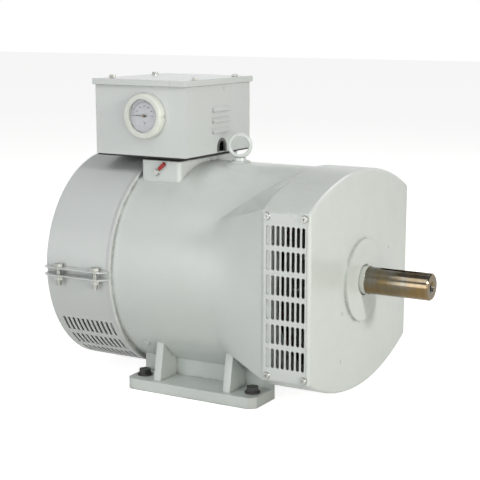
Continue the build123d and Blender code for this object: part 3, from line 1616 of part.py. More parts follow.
# Terminal board with its studs and nuts, and the rectifier beside it.
board_x = rectifier_x + (rectifier_size + board_length) / 2 + board_gap
board_top_z = box_low_z + board_height
with BuildPart() as terminal_board:
    with BuildSketch(level(box_low_z)):
        with Locations((board_x, 0)):
            RectangleRounded(board_length, board_width, board_corner)
    extrude(amount=board_height)
    with BuildSketch(level(board_top_z)):
        with Locations((board_x, 0)):
            with GridLocations(0, stud_pitch, 1, stud_count):
                Circle(stud_radius + seat_gap)
    extrude(amount=board_floor - board_height, mode=Mode.SUBTRACT)
terminal_board.part.label = "terminal_board"
export_step(terminal_board.part, "parts/terminal_board.step")

with BuildPart() as terminal_studs:
    with BuildSketch(level(box_low_z + board_floor)):
        with Locations((board_x, 0)):
            with GridLocations(0, stud_pitch, 1, stud_count):
                Circle(stud_radius)
    extrude(amount=board_height - board_floor + stud_height)
    with BuildSketch(level(board_top_z)):
        with Locations((board_x, 0)):
            with GridLocations(0, stud_pitch, 1, stud_count):
                hexagon(nut_width)
                Circle(stud_radius + seat_gap, mode=Mode.SUBTRACT)
    extrude(amount=nut_height)
terminal_studs.part.label = "terminal_studs"
export_step(terminal_studs.part, "parts/terminal_studs.step")

with BuildPart() as rectifier:
    with BuildSketch(level(box_low_z)):
        with Locations((rectifier_x, 0)):
            RectangleRounded(rectifier_size, rectifier_size, board_corner)
            Circle(stud_radius + screw_gap, mode=Mode.SUBTRACT)
    extrude(amount=rectifier_height)
rectifier.part.label = "rectifier"
export_step(rectifier.part, "parts/rectifier.step")

with BuildPart() as rectifier_screw:
    with BuildSketch(level(box_low_z + rectifier_height)):
        with Locations((rectifier_x, 0)):
            hexagon(nut_width)
    extrude(amount=nut_height)
    with BuildSketch(level(box_low_z + rectifier_height)):
        with Locations((rectifier_x, 0)):
            Circle(stud_radius)
    extrude(amount=-rectifier_height - box_sheet - rectifier_screw_tail)
rectifier_screw.part.label = "rectifier_screw"
export_step(rectifier_screw.part, "parts/rectifier_screw.step")

# Earth screw, ring lug and its insulating sleeve on the pedestal's side face.
earth_y = -pedestal_width / 2
lug_turn = math.radians(earth_lug_angle)
sleeve_line = (math.cos(lug_turn), 0, math.sin(lug_turn))
sleeve_y = earth_y - earth_sleeve_radius - band_gap
neck_distance = earth_lug_radius + earth_neck_start


def along_lug(distance):
    """Point on the lug's line at a distance from the earth screw."""
    return (earth_x + distance * sleeve_line[0], sleeve_y, earth_z + distance * sleeve_line[2])


with BuildPart() as earth_screw:
    with BuildSketch(side(earth_y - earth_lug_thickness)):
        with Locations((earth_x, earth_z)):
            Circle(earth_head_radius)
    extrude(amount=earth_head_height, taper=earth_head_taper)
    with BuildSketch(side(earth_y - earth_lug_thickness)):
        with Locations((earth_x, earth_z)):
            Circle(earth_screw_radius)
    extrude(amount=-earth_screw_length)
earth_screw.part.label = "earth_screw"
export_step(earth_screw.part, "parts/earth_screw.step")

with BuildPart() as earth_lug:
    with BuildSketch(side(earth_y)):
        with Locations((earth_x, earth_z)):
            Circle(earth_lug_radius)
            Circle(earth_screw_radius + screw_gap, mode=Mode.SUBTRACT)
    extrude(amount=earth_lug_thickness)
    neck_x = earth_x + neck_distance * sleeve_line[0]
    neck_z = earth_z + neck_distance * sleeve_line[2]
    with BuildSketch(side(earth_y)):
        with Locations((neck_x, neck_z)):
            Rectangle(earth_neck_length, earth_neck_width, rotation=earth_lug_angle)
    extrude(amount=earth_sleeve_radius + earth_neck_rise)
    with BuildSketch(Plane(origin=along_lug(neck_distance), x_dir=(0, 1, 0), z_dir=sleeve_line)):
        Circle(earth_wire_radius)
    extrude(amount=earth_sleeve_length / 2)
earth_lug.part.label = "earth_lug"
export_step(earth_lug.part, "parts/earth_lug.step")

with BuildPart() as earth_sleeve:
    sleeve_origin = along_lug(earth_lug_radius + earth_sleeve_start)
    with BuildSketch(Plane(origin=sleeve_origin, x_dir=(0, 1, 0), z_dir=sleeve_line)):
        Circle(earth_sleeve_radius)
        Circle(earth_sleeve_radius - earth_sleeve_wall, mode=Mode.SUBTRACT)
    extrude(amount=earth_sleeve_length)
earth_sleeve.part.label = "earth_sleeve"
export_step(earth_sleeve.part, "parts/earth_sleeve.step")
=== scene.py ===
import json
import math

import bmesh
import bpy
from mathutils import Matrix, Vector


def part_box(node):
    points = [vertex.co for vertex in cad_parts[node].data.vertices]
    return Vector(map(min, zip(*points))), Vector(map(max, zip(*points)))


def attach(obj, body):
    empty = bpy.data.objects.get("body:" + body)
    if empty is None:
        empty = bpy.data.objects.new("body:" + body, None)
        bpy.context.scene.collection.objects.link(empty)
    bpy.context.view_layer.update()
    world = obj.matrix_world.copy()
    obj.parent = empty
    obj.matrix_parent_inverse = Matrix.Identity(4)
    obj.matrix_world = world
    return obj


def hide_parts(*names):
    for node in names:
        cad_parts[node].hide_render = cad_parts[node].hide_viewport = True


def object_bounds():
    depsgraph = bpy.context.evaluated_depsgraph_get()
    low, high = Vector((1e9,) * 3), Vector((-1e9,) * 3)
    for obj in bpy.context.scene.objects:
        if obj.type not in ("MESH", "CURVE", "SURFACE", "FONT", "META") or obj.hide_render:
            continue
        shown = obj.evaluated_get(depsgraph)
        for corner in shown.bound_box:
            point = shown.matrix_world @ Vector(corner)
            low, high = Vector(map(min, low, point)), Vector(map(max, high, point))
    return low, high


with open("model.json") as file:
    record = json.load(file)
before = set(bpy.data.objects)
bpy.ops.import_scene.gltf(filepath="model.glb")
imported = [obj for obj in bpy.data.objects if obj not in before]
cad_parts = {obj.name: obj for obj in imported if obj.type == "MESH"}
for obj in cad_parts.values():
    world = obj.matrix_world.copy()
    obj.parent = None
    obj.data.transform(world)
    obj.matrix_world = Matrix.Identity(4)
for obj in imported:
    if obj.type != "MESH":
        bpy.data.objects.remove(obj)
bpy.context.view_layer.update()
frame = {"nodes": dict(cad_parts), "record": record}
nodes = frame["nodes"]
print("frame loaded:", len(nodes), "CAD nodes")

# heights and places that several pieces share, in metres
machine = {
    "shaftHeight": 0.188,
    "shroudRadius": 0.176,
    "meterCentre": (-0.105, 0.4345),
}

# camera at the photograph's angle
cameraView = {
    "azimuth": 29.04,
    "elevation": 11.27,
    "roll": 0.16,
    "place": (1.0008, -1.7197, 0.5906),
    "lens": 92.66,
    "sensor": 36.0,
    "shift": (-0.0423, 0.0442),
    "clip": (0.05, 60),
}


def makeCamera():
    turn = math.radians(cameraView["azimuth"])
    lift = math.radians(cameraView["elevation"])
    roll = math.radians(cameraView["roll"])
    back = Vector((math.sin(turn) * math.cos(lift), -math.cos(turn) * math.cos(lift), math.sin(lift)))
    right = Vector((math.cos(turn), math.sin(turn), 0))
    up = back.cross(right)
    right, up = math.cos(roll) * right + math.sin(roll) * up, math.cos(roll) * up - math.sin(roll) * right
    camera = bpy.data.objects.new("photoCamera", bpy.data.cameras.new("photoCamera"))
    bpy.context.scene.collection.objects.link(camera)
    axes = Matrix((right, up, back)).transposed().to_4x4()
    camera.matrix_world = Matrix.Translation(Vector(cameraView["place"])) @ axes
    camera.data.sensor_width = cameraView["sensor"]
    camera.data.lens = cameraView["lens"]
    camera.data.shift_x, camera.data.shift_y = cameraView["shift"]
    camera.data.clip_start, camera.data.clip_end = cameraView["clip"]
    bpy.context.scene.camera = camera


makeCamera()
bpy.context.scene.view_settings.view_transform = "Standard"
print("camera placed")


# small helpers for node trees
def put(tree, kind, **settings):
    node = tree.nodes.new("ShaderNode" + kind)
    for name, value in settings.items():
        setattr(node, name, value)
    return node


def feed(tree, socket, value):
    if isinstance(value, bpy.types.NodeSocket):
        tree.links.new(value, socket)
    elif value is not None:
        socket.default_value = value


def calc(tree, operation, first, second=None, clamp=False):
    node = put(tree, "Math", operation=operation, use_clamp=clamp)
    feed(tree, node.inputs[0], first)
    feed(tree, node.inputs[1], second)
    return node.outputs[0]


def span(tree, value, low, high, toLow=0.0, toHigh=1.0):
    node = put(tree, "MapRange")
    for index, part in enumerate((value, low, high, toLow, toHigh)):
        feed(tree, node.inputs[index], part)
    return node.outputs[0]


def mixColour(tree, factor, first, second, mode="MIX"):
    node = put(tree, "Mix", data_type="RGBA", blend_type=mode)
    for index, part in ((0, factor), (6, first), (7, second)):
        feed(tree, node.inputs[index], part)
    return node.outputs[2]


def noise(tree, vector, scale, detail=2.0, rough=0.5, distortion=0.0):
    node = put(tree, "TexNoise")
    for name, part in (
        ("Vector", vector), ("Scale", scale), ("Detail", detail), ("Roughness", rough),
        ("Distortion", distortion)
    ):
        feed(tree, node.inputs[name], part)
    return node.outputs[0]


def lineNoise(tree, value, scale, detail=2.0):
    node = put(tree, "TexNoise", noise_dimensions="1D")
    for name, part in (("W", value), ("Scale", scale), ("Detail", detail)):
        feed(tree, node.inputs[name], part)
    return node.outputs[0]


def objectPlace(tree):
    return put(tree, "TexCoord").outputs["Object"]


def split(tree, vector):
    node = put(tree, "SeparateXYZ")
    feed(tree, node.inputs[0], vector)
    return node.outputs


def newGroup(name, inputs, outputs):
    tree = bpy.data.node_groups.new(name, "ShaderNodeTree")
    for label, kind, value in inputs:
        socket = tree.interface.new_socket(name=label, in_out="INPUT", socket_type="NodeSocket" + kind)
        if value is not None:
            socket.default_value = value
    for label, kind in outputs:
        tree.interface.new_socket(name=label, in_out="OUTPUT", socket_type="NodeSocket" + kind)
    return tree, tree.nodes.new("NodeGroupInput").outputs, tree.nodes.new("NodeGroupOutput").inputs


def place(tree, group, **values):
    node = tree.nodes.new("ShaderNodeGroup")
    node.node_tree = group
    for socket in node.inputs:
        key = socket.name[0].lower() + socket.name[1:].replace(" ", "")
        if key in values:
            feed(tree, socket, values.pop(key))
    if values:
        raise ValueError(f"{group.name} has no inputs {sorted(values)}")
    return node.outputs


def colour(red, green, blue):
    shares = [part / 255 for part in (red, green, blue)]
    light = [((share + 0.055) / 1.055) ** 2.4 if share > 0.04 else share / 12.92 for share in shares]
    return (*light, 1.0)


# the band that holds most of a noise's values
noiseMiddle = (0.3, 0.7)


# edges rounded by the thickness of paint or by handling, with a mask of where they are
edgePattern = {"samples": 6, "band": (0.995, 0.86)}


def makeSoftEdge():
    tree, give, take = newGroup(
        "softEdge", [("Radius", "Float", 0.0015)], [("Normal", "Vector"), ("Edge", "Float")]
    )
    bevel = put(tree, "Bevel", samples=edgePattern["samples"])
    feed(tree, bevel.inputs["Radius"], give["Radius"])
    facing = put(tree, "VectorMath", operation="DOT_PRODUCT")
    feed(tree, facing.inputs[0], bevel.outputs[0])
    feed(tree, facing.inputs[1], put(tree, "NewGeometry").outputs["Normal"])
    feed(tree, take["Normal"], bevel.outputs[0])
    feed(tree, take["Edge"], span(tree, facing.outputs["Value"], *edgePattern["band"]))
    return tree


# painted shade with dirt in corners, darkened where ambient occlusion finds hollows, and dust on what faces
# up
cornerShadeAndDustPattern = {
    "samples": 4,
    "patchScale": 90,
    "patchBand": (0.3, 0.62),
    "cornerBand": (0.85, 0.35),
    "upBand": (0.55, 0.98),
    "dustScale": 34,
    "dustBand": (0.35, 0.7),
    "dirtColour": colour(92, 84, 70),
    "dustColour": colour(176, 171, 158),
    "roughening": 0.4,
}


def makeCornerShadeAndDust():
    tree, give, take = newGroup(
        "grime",
        [("Color", "Color", (0.8, 0.8, 0.8, 1)), ("Roughness", "Float", 0.4), ("Corner Dirt", "Float", 0.5),
         ("Corner Reach", "Float", 0.006), ("Dust", "Float", 0.2)],
        [("Color", "Color"), ("Roughness", "Float")],
    )
    where = objectPlace(tree)
    shade = put(tree, "AmbientOcclusion", samples=cornerShadeAndDustPattern["samples"])
    feed(tree, shade.inputs["Distance"], give["Corner Reach"])
    patches = noise(tree, where, cornerShadeAndDustPattern["patchScale"], 3)
    hollow = span(tree, shade.outputs["AO"], *cornerShadeAndDustPattern["cornerBand"])
    corner = calc(tree, "MULTIPLY", hollow, span(tree, patches, *cornerShadeAndDustPattern["patchBand"]))
    corner = calc(tree, "MULTIPLY", corner, give["Corner Dirt"])
    up = split(tree, put(tree, "NewGeometry").outputs["Normal"])[2]
    drifts = span(tree, noise(tree, where, cornerShadeAndDustPattern["dustScale"], 4, 0.65), *cornerShadeAndDustPattern["dustBand"])
    settled = calc(tree, "MULTIPLY", span(tree, up, *cornerShadeAndDustPattern["upBand"]), drifts)
    settled = calc(tree, "MULTIPLY", settled, give["Dust"])
    # corners painted darker: painted shade from ambient occlusion, mixed with patches of dirt
    shadedAndDirty = mixColour(tree, corner, give["Color"], cornerShadeAndDustPattern["dirtColour"])
    dusty = mixColour(tree, settled, shadedAndDirty, cornerShadeAndDustPattern["dustColour"])
    added = calc(tree, "MULTIPLY", calc(tree, "ADD", corner, settled), cornerShadeAndDustPattern["roughening"])
    rough = calc(tree, "ADD", give["Roughness"], added, clamp=True)
    feed(tree, take["Color"], dusty)
    feed(tree, take["Roughness"], rough)
    return tree


# sprayed gloss enamel: tone drifts, orange peel, and the casting's skin under it
enamelPattern = {
    "broadScale": 5.5,
    "broadShare": 0.6,
    "cloudScale": 38,
    "cloudShare": 0.4,
    "driftBand": (0.36, 0.66),
    "fleckScale": 420,
    "fleckBand": (0.5, 0.66),
    "peelScale": 310,
    "skinScale": 760,
    "pitScale": 150,
    "waveScale": 17,
    "waveHeight": 6,
}


def makeEnamelSkin():
    tree, give, take = newGroup(
        "enamelSkin",
        [("Paint", "Color", (0.7, 0.7, 0.7, 1)), ("Deep Tone", "Color", (0.6, 0.6, 0.6, 1)),
         ("Thin Tone", "Color", (0.4, 0.4, 0.38, 1)),
         ("Tone Drift", "Float", 0.4), ("Peel", "Float", 0.5), ("Casting", "Float", 0.0),
         ("Waviness", "Float", 0.3),
         ("Edge", "Float", 0.0), ("Edge Wear", "Float", 0.3), ("Low Roughness", "Float", 0.22),
         ("High Roughness", "Float", 0.38)],
        [("Color", "Color"), ("Roughness", "Float"), ("Height", "Float")],
    )
    where = objectPlace(tree)
    broad = noise(tree, where, enamelPattern["broadScale"], 3, 0.55)
    clouds = noise(tree, where, enamelPattern["cloudScale"], 4, 0.6)
    drift = calc(
        tree, "ADD", calc(tree, "MULTIPLY", broad, enamelPattern["broadShare"]),
        calc(tree, "MULTIPLY", clouds, enamelPattern["cloudShare"]),
    )
    tone = calc(tree, "MULTIPLY", span(tree, drift, *enamelPattern["driftBand"]), give["Tone Drift"])
    painted = mixColour(tree, tone, give["Paint"], give["Deep Tone"])
    flecks = span(
        tree, noise(tree, where, enamelPattern["fleckScale"], 2, 0.6), *enamelPattern["fleckBand"]
    )
    worn = calc(tree, "MULTIPLY", calc(tree, "MULTIPLY", give["Edge"], flecks), give["Edge Wear"])
    feed(tree, take["Color"], mixColour(tree, worn, painted, give["Thin Tone"]))
    peel = calc(tree, "MULTIPLY", noise(tree, where, enamelPattern["peelScale"], 1, 0.4), give["Peel"])
    sand = noise(tree, where, enamelPattern["skinScale"], 3, 0.7)
    pits = noise(tree, where, enamelPattern["pitScale"], 3, 0.6)
    skin = calc(tree, "MULTIPLY", calc(tree, "ADD", sand, pits), give["Casting"])
    high = calc(tree, "MULTIPLY", give["Waviness"], enamelPattern["waveHeight"])
    wave = calc(tree, "MULTIPLY", noise(tree, where, enamelPattern["waveScale"], 2, 0.5), high)
    feed(tree, take["Height"], calc(tree, "ADD", calc(tree, "ADD", peel, skin), wave))
    feed(
        tree, take["Roughness"],
        span(tree, clouds, *noiseMiddle, give["Low Roughness"], give["High Roughness"])
    )
    return tree


# distance from the shaft's axis
def axisRadius(tree, part):
    high = calc(tree, "SUBTRACT", part[2], machine["shaftHeight"])
    square = calc(tree, "ADD", calc(tree, "MULTIPLY", part[1], part[1]), calc(tree, "MULTIPLY", high, high))
    return calc(tree, "SQRT", square)


# fine rings left by a lathe tool round the shaft's axis, on round and on flat faces alike
ringPattern = {"bandScale": 0.045, "band": (0.35, 0.7)}


def makeTurnedRings():
    tree, give, take = newGroup(
        "turnedRings", [("Pitch", "Float", 0.0004), ("Streaks", "Float", 0.5)],
        [("Height", "Float"), ("Tone", "Float")]
    )
    where = split(tree, objectPlace(tree))
    along = calc(tree, "DIVIDE", calc(tree, "ADD", where[0], axisRadius(tree, where)), give["Pitch"])
    feed(tree, take["Height"], lineNoise(tree, along, 1.0, 1))
    bands = span(tree, lineNoise(tree, along, ringPattern["bandScale"], 3), *ringPattern["band"])
    feed(tree, take["Tone"], calc(tree, "MULTIPLY", bands, give["Streaks"]))
    return tree


# cloudy plating with hairline scratches
platingPattern = {
    "cloudScale": 170,
    "stainBand": (0.42, 0.7),
    "rubScale": 520,
    "rubBand": (0.4, 0.6),
    "scratchScale": (90, 1400, 900),
    "scratchTurn": (0.4, 0.7, 0.3),
    "grainScale": 900,
}


def makePlating():
    tree, give, take = newGroup(
        "plating",
        [("Metal", "Color", (0.6, 0.6, 0.6, 1)), ("Stain", "Color", (0.4, 0.38, 0.3, 1)),
         ("Bare", "Color", (0.7, 0.7, 0.7, 1)),
         ("Stain Amount", "Float", 0.4), ("Edge", "Float", 0.0), ("Low Roughness", "Float", 0.25),
         ("High Roughness", "Float", 0.5)],
        [("Color", "Color"), ("Roughness", "Float"), ("Height", "Float")],
    )
    where = objectPlace(tree)
    clouds = noise(tree, where, platingPattern["cloudScale"], 4, 0.6)
    stain = calc(tree, "MULTIPLY", span(tree, clouds, *platingPattern["stainBand"]), give["Stain Amount"])
    base = mixColour(tree, stain, give["Metal"], give["Stain"])
    patches = span(tree, noise(tree, where, platingPattern["rubScale"], 2), *platingPattern["rubBand"])
    rubbed = calc(tree, "MULTIPLY", give["Edge"], patches)
    feed(tree, take["Color"], mixColour(tree, rubbed, base, give["Bare"]))
    feed(
        tree, take["Roughness"],
        span(tree, clouds, *noiseMiddle, give["Low Roughness"], give["High Roughness"])
    )
    stretch = put(tree, "Mapping")
    feed(tree, stretch.inputs["Vector"], where)
    stretch.inputs["Scale"].default_value = platingPattern["scratchScale"]
    stretch.inputs["Rotation"].default_value = platingPattern["scratchTurn"]
    grain = noise(tree, where, platingPattern["grainScale"], 1)
    feed(tree, take["Height"], calc(tree, "ADD", noise(tree, stretch.outputs[0], 1.0, 2), grain))
    return tree


# the grain of a moulding or of rubber
mouldPattern = {"cloudScale": 60, "wornBand": (0.4, 0.75), "edgeShare": 0.5, "wornShare": 0.4}


def makeMouldGrain():
    tree, give, take = newGroup(
        "mouldGrain",
        [("Color", "Color", (0.1, 0.1, 0.1, 1)), ("Worn Color", "Color", (0.2, 0.2, 0.2, 1)),
         ("Grain Size", "Float", 0.0006),
         ("Edge", "Float", 0.0), ("Low Roughness", "Float", 0.3), ("High Roughness", "Float", 0.5)],
        [("Color", "Color"), ("Roughness", "Float"), ("Height", "Float")],
    )
    where = objectPlace(tree)
    fine = noise(tree, where, calc(tree, "DIVIDE", 1.0, give["Grain Size"]), 2, 0.6)
    clouds = noise(tree, where, mouldPattern["cloudScale"], 3, 0.6)
    rubbed = calc(tree, "MULTIPLY", give["Edge"], mouldPattern["edgeShare"])
    faded = calc(tree, "MULTIPLY", span(tree, clouds, *mouldPattern["wornBand"]), mouldPattern["wornShare"])
    worn = calc(tree, "ADD", rubbed, faded, clamp=True)
    feed(tree, take["Color"], mixColour(tree, worn, give["Color"], give["Worn Color"]))
    feed(
        tree, take["Roughness"],
        span(tree, fine, *noiseMiddle, give["Low Roughness"], give["High Roughness"])
    )
    feed(tree, take["Height"], fine)
    return tree


# round wires packed side by side, running round the shaft's axis
wirePattern = {"swayScale": 22, "sway": 0.012}


def makeWoundWire():
    tree, give, take = newGroup(
        "woundWire", [("Wire", "Float", 0.0014)], [("Height", "Float"), ("Tone", "Float")]
    )
    where = objectPlace(tree)
    part = split(tree, where)
    radius = axisRadius(tree, part)
    sway = calc(tree, "MULTIPLY", noise(tree, where, wirePattern["swayScale"], 2), wirePattern["sway"])
    first = calc(tree, "PINGPONG", calc(tree, "DIVIDE", calc(tree, "ADD", radius, sway), give["Wire"]), 0.5)
    second = calc(
        tree, "PINGPONG", calc(tree, "DIVIDE", calc(tree, "ADD", part[0], sway), give["Wire"]), 0.5
    )
    square = calc(tree, "ADD", calc(tree, "MULTIPLY", first, first), calc(tree, "MULTIPLY", second, second))
    feed(tree, take["Height"], calc(tree, "SQRT", square))
    turns = calc(tree, "DIVIDE", calc(tree, "ADD", radius, part[0]), give["Wire"])
    feed(tree, take["Tone"], span(tree, lineNoise(tree, turns, 1.0, 1), *noiseMiddle))
    return tree


# the edges of thin steel sheets stacked along the shaft
def makeSheetStack():
    tree, give, take = newGroup(
        "sheetStack", [("Sheet", "Float", 0.0005)], [("Height", "Float"), ("Tone", "Float")]
    )
    along = calc(tree, "DIVIDE", split(tree, objectPlace(tree))[0], give["Sheet"])
    feed(tree, take["Height"], calc(tree, "PINGPONG", along, 0.5))
    feed(tree, take["Tone"], span(tree, lineNoise(tree, along, 0.9, 1), *noiseMiddle))
    return tree


# the casting's flare swells out of the barrel without a crease: its normal starts round and turns
# with the distance
flareFacing = 0.8


def makeFlareRoot():
    tree, give, take = newGroup(
        "flareRoot", [("Normal", "Vector", None), ("Start", "Float", 0.05), ("End", "Float", 0.1)],
        [("Normal", "Vector")]
    )
    where = split(tree, objectPlace(tree))
    across = put(tree, "CombineXYZ")
    feed(tree, across.inputs[1], where[1])
    feed(tree, across.inputs[2], calc(tree, "SUBTRACT", where[2], machine["shaftHeight"]))
    radial = put(tree, "VectorMath", operation="NORMALIZE")
    feed(tree, radial.inputs[0], across.outputs[0])
    facing = put(tree, "VectorMath", operation="DOT_PRODUCT")
    feed(tree, facing.inputs[0], radial.outputs[0])
    feed(tree, facing.inputs[1], give["Normal"])
    near = put(tree, "MapRange", interpolation_type="SMOOTHSTEP")
    for index, part in enumerate((where[0], give["Start"], give["End"], 1.0, 0.0)):
        feed(tree, near.inputs[index], part)
    mask = calc(
        tree, "MULTIPLY", near.outputs[0], calc(tree, "GREATER_THAN", facing.outputs["Value"], flareFacing)
    )
    mask = calc(tree, "MULTIPLY", mask, calc(tree, "GREATER_THAN", where[0], give["Start"]))
    turned = put(tree, "Mix", data_type="VECTOR")
    for index, part in ((0, mask), (4, give["Normal"]), (5, radial.outputs[0])):
        feed(tree, turned.inputs[index], part)
    unit = put(tree, "VectorMath", operation="NORMALIZE")
    feed(tree, unit.inputs[0], turned.outputs[1])
    feed(tree, take["Normal"], unit.outputs[0])
    return tree


groups = {
    "softEdge": makeSoftEdge(),
    "flareRoot": makeFlareRoot(),
    "grime": makeCornerShadeAndDust(),
    "enamelSkin": makeEnamelSkin(),
    "turnedRings": makeTurnedRings(),
    "plating": makePlating(),
    "mouldGrain": makeMouldGrain(),
    "woundWire": makeWoundWire(),
    "sheetStack": makeSheetStack(),
}
print("node groups:", len(groups))


def newMaterial(name, **shader):
    material = bpy.data.materials.new(name)
    material.use_nodes = True
    tree = material.node_tree
    principled = tree.nodes["Principled BSDF"]
    for key, value in shader.items():
        principled.inputs[key.replace("_", " ")].default_value = value
    return material, tree, principled.inputs


def bump(tree, height, normal, distance, strength=1.0):
    node = put(tree, "Bump")
    node.inputs["Strength"].default_value = strength
    node.inputs["Distance"].default_value = distance
    feed(tree, node.inputs["Height"], height)
    feed(tree, node.inputs["Normal"], normal)
    return node.outputs[0]


def enamelMaterial(name, finish):
    material, tree, shader = newMaterial(
        name, Coat_Weight=finish["coat"], Coat_Roughness=finish["coatRoughness"], Specular_IOR_Level=0.5,
    )
    soft = place(tree, groups["softEdge"], radius=finish["edgeRadius"])
    skin = place(
        tree, groups["enamelSkin"], paint=finish["paint"], deepTone=finish["deepTone"],
        thinTone=finish["thinTone"],
        toneDrift=finish["toneDrift"], peel=finish["peel"], casting=finish["casting"],
        waviness=finish["waviness"],
        edge=soft["Edge"], edgeWear=finish["edgeWear"], lowRoughness=finish["roughness"][0],
        highRoughness=finish["roughness"][1],
    )
    shadedGrime = place(
        tree, groups["grime"], color=skin["Color"], roughness=skin["Roughness"],
        cornerDirt=finish["cornerDirt"],
        cornerReach=finish["cornerReach"], dust=finish["dust"],
    )
    normal = soft["Normal"]
    if finish["flareRoot"]:
        start, end = finish["flareRoot"]
        normal = place(tree, groups["flareRoot"], normal=normal, start=start, end=end)["Normal"]
    feed(tree, shader["Base Color"], shadedGrime["Color"])
    feed(tree, shader["Roughness"], shadedGrime["Roughness"])
    feed(tree, shader["Normal"], bump(tree, skin["Height"], normal, finish["bump"]))
    return material


# gloss enamel over the castings
castingFinish = {
    "paint": colour(209, 214, 211),
    "deepTone": colour(198, 205, 202),
    "thinTone": colour(150, 148, 138),
    "toneDrift": 0.5,
    "peel": 0.35,
    "casting": 0.75,
    "waviness": 0.35,
    "edgeWear": 0.35,
    "edgeRadius": 0.0022,
    "roughness": (0.27, 0.42),
    "coat": 0.35,
    "coatRoughness": 0.12,
    "cornerDirt": 0.55,
    "cornerReach": 0.007,
    "dust": 0.16,
    "bump": 0.00022,
    "flareRoot": (0.0502, 0.108),
}

# the same enamel over smooth sheet steel
sheetFinish = dict(
    castingFinish,
    paint=colour(209, 213, 212),
    deepTone=colour(202, 207, 206),
    toneDrift=0.35,
    casting=0.0,
    peel=0.12,
    waviness=0.3,
    edgeRadius=0.0012,
    roughness=(0.27, 0.33),
    coat=0.45,
    coatRoughness=0.1,
    cornerDirt=0.5,
    cornerReach=0.005,
    dust=0.05,
    bump=0.00005,
    flareRoot=None,
)

# screws and the eye, painted over with the rest
fastenerFinish = dict(
    castingFinish, edgeWear=0.8, edgeRadius=0.0008, casting=0.2, cornerDirt=0.8, cornerReach=0.003,
    bump=0.00012,
    flareRoot=None,
)


def shaftMaterial(finish):
    material, tree, shader = newMaterial("shaftSteel", Anisotropic=0.45)
    soft = place(tree, groups["softEdge"], radius=finish["edgeRadius"])
    rings = place(tree, groups["turnedRings"], pitch=finish["pitch"], streaks=finish["streaks"])
    where = objectPlace(tree)
    part = split(tree, where)
    # the collar next to the bracket carries paint, with a slightly uneven edge
    uneven = calc(tree, "MULTIPLY", noise(tree, where, finish["rimScale"], 2), finish["rimDepth"])
    bareStart, bareEnd = (finish["paintEndX"] + offset for offset in finish["rimBand"])
    bare = span(tree, calc(tree, "ADD", part[0], uneven), bareStart, bareEnd)
    # oil in random patches, and the underside painted brown by its downward normal: a painted reflection of
    # a warm floor
    underReflection = span(tree, split(tree, put(tree, "NewGeometry").outputs["Normal"])[2], *finish["filmTurn"])
    pools = span(tree, noise(tree, where, finish["filmScale"], 3, 0.6, 0.6), *finish["filmBand"])
    oilAndUnderReflection = calc(tree, "ADD", pools, calc(tree, "MULTIPLY", underReflection, finish["filmShare"]), clamp=True)
    oil = calc(tree, "MULTIPLY", oilAndUnderReflection, finish["oil"])
    steel = mixColour(tree, oil, finish["steel"], finish["oilColour"])
    steel = mixColour(tree, rings["Tone"], steel, finish["darkSteel"])
    # edges painted brighter: a painted highlight along the shaft's edges
    steel = mixColour(tree, soft["Edge"], steel, finish["brightSteel"])
    gloss = span(tree, noise(tree, where, finish["glossScale"], 3), *noiseMiddle, *finish["roughness"])
    shadedGrime = place(
        tree, groups["grime"], color=steel, roughness=gloss, cornerDirt=0.7, cornerReach=0.004, dust=0.0
    )
    feed(tree, shader["Base Color"], mixColour(tree, bare, finish["paint"], shadedGrime["Color"]))
    feed(tree, shader["Metallic"], bare)
    feed(tree, shader["Roughness"], shadedGrime["Roughness"])
    feed(tree, shader["Normal"], bump(tree, rings["Height"], soft["Normal"], finish["bump"]))
    return material


shaftFinish = {
    "steel": colour(122, 122, 117),
    "darkSteel": colour(84, 83, 79),
    "brightSteel": colour(206, 202, 192),
    "oilColour": colour(140, 112, 60),
    "paint": colour(204, 207, 201),
    "paintEndX": 0.2395,
    "rimScale": 160,
    "rimDepth": 0.0016,
    "rimBand": (0.0006, 0.0012),
    "filmTurn": (0.35, -0.45),
    "filmScale": 26,
    "filmBand": (0.4, 0.75),
    "filmShare": 0.7,
    "glossScale": 75,
    "oil": 0.8,
    "streaks": 0.22,
    "pitch": 0.0003,
    "roughness": (0.12, 0.22),
    "edgeRadius": 0.0006,
    "bump": 0.000012,
}


def platedMaterial(name, finish):
    material, tree, shader = newMaterial(name, Metallic=finish["metallic"])
    soft = place(tree, groups["softEdge"], radius=finish["edgeRadius"])
    skin = place(
        tree, groups["plating"], metal=finish["metal"], stain=finish["stain"], bare=finish["bare"],
        stainAmount=finish["stainAmount"], edge=soft["Edge"], lowRoughness=finish["roughness"][0],
        highRoughness=finish["roughness"][1],
    )
    shadedGrime = place(
        tree, groups["grime"], color=skin["Color"], roughness=skin["Roughness"],
        cornerDirt=finish["cornerDirt"],
        cornerReach=0.003, dust=finish["dust"],
    )
    feed(tree, shader["Base Color"], shadedGrime["Color"])
    feed(tree, shader["Roughness"], shadedGrime["Roughness"])
    feed(tree, shader["Normal"], bump(tree, skin["Height"], soft["Normal"], finish["bump"]))
    return material


